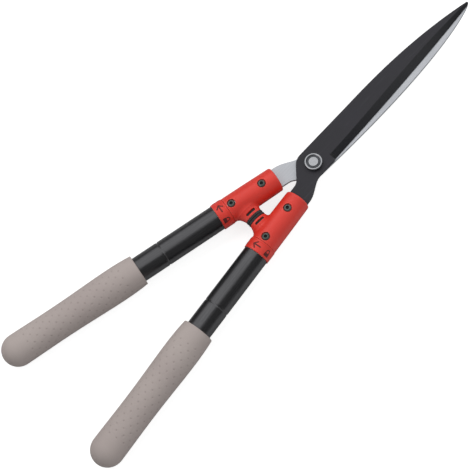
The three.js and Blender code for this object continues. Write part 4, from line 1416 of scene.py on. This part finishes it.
def build_grips(looks):
    around = looks.dimples_around
    start, end = DIMPLED
    pitch = looks.dimple_pitch / MM
    along = round((end - start) / pitch)
    arc = 2 * math.pi * DIMPLED_RADIUS * MM / around
    tile = tile_pattern(looks.dimple_pitch, arc, looks.dimple_radius)
    form = grip_form()
    for side, name in SIDES.items():
        obj = form.grow(f"{name}_soft_grip", {
            "Tile": tile, "Finish": grey_grip(), "Tiles Along": along, "Tiles Around": around,
            "First Reach": start * MM, "Pitch": looks.dimple_pitch,
            "Dimple Depth": looks.dimple_depth},
            grip_ends(start, start + along * pitch, around * TILE_SIDES))
        face_outward(obj.data)
        obj.data.transform(handle_matrix(side))
        dress(obj, f"{name}_handle", "grey_grip", f"{name}_grip")
    bpy.data.objects.remove(tile)


# Stage

def floor_material(colour):
    """A pale floor that looks white to the camera and keeps soft shadows."""
    s = Surface("studio_floor")
    s.colour = (*colour, 1)
    s.lay(s.noise(3, 3).between(0.3, 0.7), 200, 200, 200)
    path = s.node("ShaderNodeLightPath")
    seen = path["Is Camera Ray"].maths("MAXIMUM", path["Is Transmission Ray"])
    matt = s.node("ShaderNodeBsdfDiffuse", {"Color": s.colour, "Roughness": 0.8})[0]
    glow = s.node("ShaderNodeEmission", {"Color": (1, 1, 1, 1), "Strength": 0.78})[0]
    both = s.node("ShaderNodeAddShader", {0: matt, 1: glow})[0]
    shown = s.node("ShaderNodeMixShader", {0: seen, 1: matt, 2: both})[0]
    behind = s.node("ShaderNodeNewGeometry")["Backfacing"]
    clear = s.node("ShaderNodeBsdfTransparent")[0]
    return s.end(s.node("ShaderNodeMixShader", {0: behind, 1: shown, 2: clear})[0])


def card_material():
    """Cards glowing at a plain even level that only reflections show: painted reflections of dark
    surroundings.
    """
    s = Surface("dark_felt", 104, 104, 104)
    s.lay(s.noise(30, 2), 110, 110, 110)
    return s.end(s.node("ShaderNodeEmission", {"Color": s.colour})[0])


def build_world(surroundings):
    """White for what is seen straight, through glass or in a reflection, and softer light."""
    world = bpy.data.worlds.new("pale_surroundings")
    world.use_nodes = True
    world.node_tree.nodes.clear()
    w = Tree(world.node_tree)
    path = w.node("ShaderNodeLightPath")
    rays = path["Is Camera Ray"] + path["Is Transmission Ray"] + path["Is Glossy Ray"]
    soft, white = [
        w.node("ShaderNodeBackground", {"Color": (1, 1, 1, 1), "Strength": strength})[0]
        for strength in (surroundings, 1.0)]
    both = w.node("ShaderNodeMixShader", {0: rays.maths("MINIMUM", 1.0), 1: soft, 2: white})[0]
    w.node("ShaderNodeOutputWorld", {"Surface": both})
    return world


def build_camera():
    camera = bpy.data.cameras.new("photo_camera")
    camera.lens = CAMERA_LENS
    camera.sensor_width = CAMERA_SENSOR
    camera.clip_start, camera.clip_end = CAMERA_CLIP
    obj = put("photo_camera", camera)
    right, down = Vector(CAMERA_RIGHT).normalized(), Vector(CAMERA_DOWN).normalized()
    ahead = right.cross(down).normalized()
    axes = Matrix((right, right.cross(ahead), -ahead)).transposed()
    obj.matrix_world = Matrix.Translation(CAMERA_PLACE) @ axes.to_4x4()
    return obj


def build_stage(looks):
    """Floor, cards, soft lamps, pale surroundings and the photograph's camera."""
    scene = bpy.context.scene
    count = FLOOR_FIELDS + 1
    axis = np.linspace(-STAGE_REACH, STAGE_REACH, count)
    height = cad_box[0].z - FLOOR_DROP
    faces = [[row + i, row + i + 1, row + i + count + 1, row + i + count]
             for row in range(0, FLOOR_FIELDS * count, count) for i in range(FLOOR_FIELDS)]
    floor = put("studio_floor", plain_mesh(
        "studio_floor", [(x, y, height) for y in axis for x in axis], faces,
        floor_material(looks.floor_colour)))
    # Glowing cards seen only in reflections: painted dark reflections
    cards = put("dark_cards", plain_mesh(
        "dark_cards", [(x, y, z) for y, z in CARD_EDGES for x in (-STAGE_REACH, STAGE_REACH)],
        [(0, 1, 3, 2), (4, 5, 7, 6)], card_material()))
    cards.visible_camera = cards.visible_diffuse = cards.visible_shadow = False

    middle = Vector((-0.07, 0, 0))
    for name, toward, away, size, power in (
            ("key_lamp", (-0.05, 0.58, 0.81), 1.7, 1.3, looks.key_power),
            ("fill_lamp", (0.5, -0.5, 0.7), 1.9, 1.6, looks.fill_power)):
        light = bpy.data.lights.new(name, "AREA")
        light.shape = "DISK"
        light.size = size
        light.energy = power
        lamp = put(name, light)
        lamp.location = middle + Vector(toward).normalized() * away
        lamp.rotation_euler = (middle - lamp.location).to_track_quat("-Z", "Y").to_euler()
        lamp.visible_glossy = False
    scene.world = build_world(looks.surroundings)
    scene.camera = build_camera()
    scene.view_settings.view_transform = "Standard"


# Settings

class ShearsBladeSettings(bpy.types.PropertyGroup):
    """Sizes of the blades' finish."""

    edge_round: FloatProperty(
        name="Edge round", description="Round of the blades' upper edges",
        default=0.35 * MM, min=0.1 * MM, max=0.6 * MM, unit="LENGTH")


class ShearsHousingSettings(bpy.types.PropertyGroup):
    """Sizes of the housings' finish."""

    fillet: FloatProperty(
        name="Fillet", description="Round between a housing and its boss",
        default=2.5 * MM, min=0.5 * MM, max=6 * MM, unit="LENGTH")


class ShearsGripSettings(bpy.types.PropertyGroup):
    """Sizes of the grips' dimples."""

    dimple_pitch: FloatProperty(
        name="Dimple pitch", description="From one row of dimples to the next along the grip",
        default=6.5 * MM, min=4 * MM, max=12 * MM, unit="LENGTH")
    dimple_radius: FloatProperty(
        name="Dimple radius", description="Radius of one dimple",
        default=1.15 * MM, min=0.4 * MM, max=2 * MM, unit="LENGTH")
    dimple_depth: FloatProperty(
        name="Dimple depth", description="Depth of one dimple",
        default=0.4 * MM, min=0.1 * MM, max=1 * MM, unit="LENGTH")
    dimples_around: IntProperty(
        name="Dimples around", description="Number of dimples in one row round the grip",
        default=12, min=6, max=24)


class ShearsStageSettings(bpy.types.PropertyGroup):
    """Lamps and colours of the stage."""

    key_power: FloatProperty(
        name="Key lamp", description="Power of the soft lamp at the photograph's upper left",
        default=17.0, min=0, subtype="POWER", unit="POWER")
    fill_power: FloatProperty(
        name="Fill lamp", description="Power of the soft lamp on the other side",
        default=10.5, min=0, subtype="POWER", unit="POWER")
    surroundings: FloatProperty(
        name="Surroundings", description="Strength of the light from all around",
        default=0.45, min=0, max=1, subtype="FACTOR")
    floor_colour: FloatVectorProperty(
        name="Floor colour", description="Colour of the floor",
        default=(0.52, 0.52, 0.52), min=0, max=1, subtype="COLOR")


# Operators

class SHEARS_OT_stage(bpy.types.Operator):
    """Make the floor, the lamps, the surroundings and the camera"""
    bl_idname = "shears.stage"
    bl_label = "Stage"

    def execute(self, context):
        build_stage(context.scene.shears_stage)
        return {"FINISHED"}


class SHEARS_OT_blades(bpy.types.Operator):
    """Make both blades with their ground bevels and tangs"""
    bl_idname = "shears.blades"
    bl_label = "Blades"

    def execute(self, context):
        for side in SIDES:
            build_blade(side, context.scene.shears_blades)
        return {"FINISHED"}


class SHEARS_OT_pivot(bpy.types.Operator):
    """Make the pivot's cap, bolt, washers and nut"""
    bl_idname = "shears.pivot"
    bl_label = "Pivot"

    def execute(self, context):
        build_pivot()
        return {"FINISHED"}


class SHEARS_OT_housings(bpy.types.Operator):
    """Make the two moulded housings"""
    bl_idname = "shears.housings"
    bl_label = "Housings"

    def execute(self, context):
        for side in SIDES:
            build_housing(side, context.scene.shears_housings)
        return {"FINISHED"}


class SHEARS_OT_bumpers(bpy.types.Operator):
    """Make the two rubber bumpers"""
    bl_idname = "shears.bumpers"
    bl_label = "Bumpers"

    def execute(self, context):
        for side in SIDES:
            build_bumper(side)
        return {"FINISHED"}


class SHEARS_OT_fixings(bpy.types.Operator):
    """Make the housings' screws and nuts"""
    bl_idname = "shears.fixings"
    bl_label = "Screws and nuts"

    def execute(self, context):
        build_fixings()
        return {"FINISHED"}


class SHEARS_OT_tubes(bpy.types.Operator):
    """Make the outer and inner tubes"""
    bl_idname = "shears.tubes"
    bl_label = "Tubes"

    def execute(self, context):
        for side in SIDES:
            build_tubes(side)
        return {"FINISHED"}


class SHEARS_OT_collars(bpy.types.Operator):
    """Make the lock collars and their marks"""
    bl_idname = "shears.collars"
    bl_label = "Lock collars"

    def execute(self, context):
        for side in SIDES:
            build_collar(side)
        return {"FINISHED"}


class SHEARS_OT_grips(bpy.types.Operator):
    """Make the two dimpled grips"""
    bl_idname = "shears.grips"
    bl_label = "Grips"

    def execute(self, context):
        build_grips(context.scene.shears_grips)
        return {"FINISHED"}


class SHEARS_OT_inside(bpy.types.Operator):
    """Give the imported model's inner pieces their finish"""
    bl_idname = "shears.inside"
    bl_label = "Inner pieces"

    def execute(self, context):
        for name in SIDES.values():
            for label in ("tang_sleeve", "end_bush", "collet", "end_plug"):
                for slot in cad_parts[f"{name}_{label}"].material_slots:
                    slot.link = "OBJECT"
                    slot.material = pale_plastic()
        return {"FINISHED"}


class SHEARS_PT_panel(bpy.types.Panel):
    """The shears' operators and settings"""
    bl_label = "Hedge shears"
    bl_idname = "SHEARS_PT_panel"
    bl_space_type = "VIEW_3D"
    bl_region_type = "UI"
    bl_category = "Shears"

    def draw(self, context):
        for operator in OPERATORS:
            self.layout.operator(operator.bl_idname)
        for name, kind in SETTINGS.items():
            box = self.layout.box()
            for prop in kind.__annotations__:
                box.prop(getattr(context.scene, name), prop)


SETTINGS = {
    "shears_blades": ShearsBladeSettings,
    "shears_housings": ShearsHousingSettings,
    "shears_grips": ShearsGripSettings,
    "shears_stage": ShearsStageSettings,
}
OPERATORS = (
    SHEARS_OT_stage, SHEARS_OT_blades, SHEARS_OT_pivot, SHEARS_OT_housings, SHEARS_OT_bumpers,
    SHEARS_OT_fixings, SHEARS_OT_tubes, SHEARS_OT_collars, SHEARS_OT_grips, SHEARS_OT_inside,
)


def register():
    for kind in (*SETTINGS.values(), *OPERATORS, SHEARS_PT_panel):
        bpy.utils.register_class(kind)
    for name, kind in SETTINGS.items():
        setattr(bpy.types.Scene, name, PointerProperty(type=kind))


def unregister():
    for name in SETTINGS:
        delattr(bpy.types.Scene, name)
    for kind in reversed((*SETTINGS.values(), *OPERATORS, SHEARS_PT_panel)):
        bpy.utils.unregister_class(kind)


def main():
    register()
    for operator in OPERATORS:
        group, name = operator.bl_idname.split(".")
        getattr(getattr(bpy.ops, group), name)()


if __name__ == "__main__":
    main()
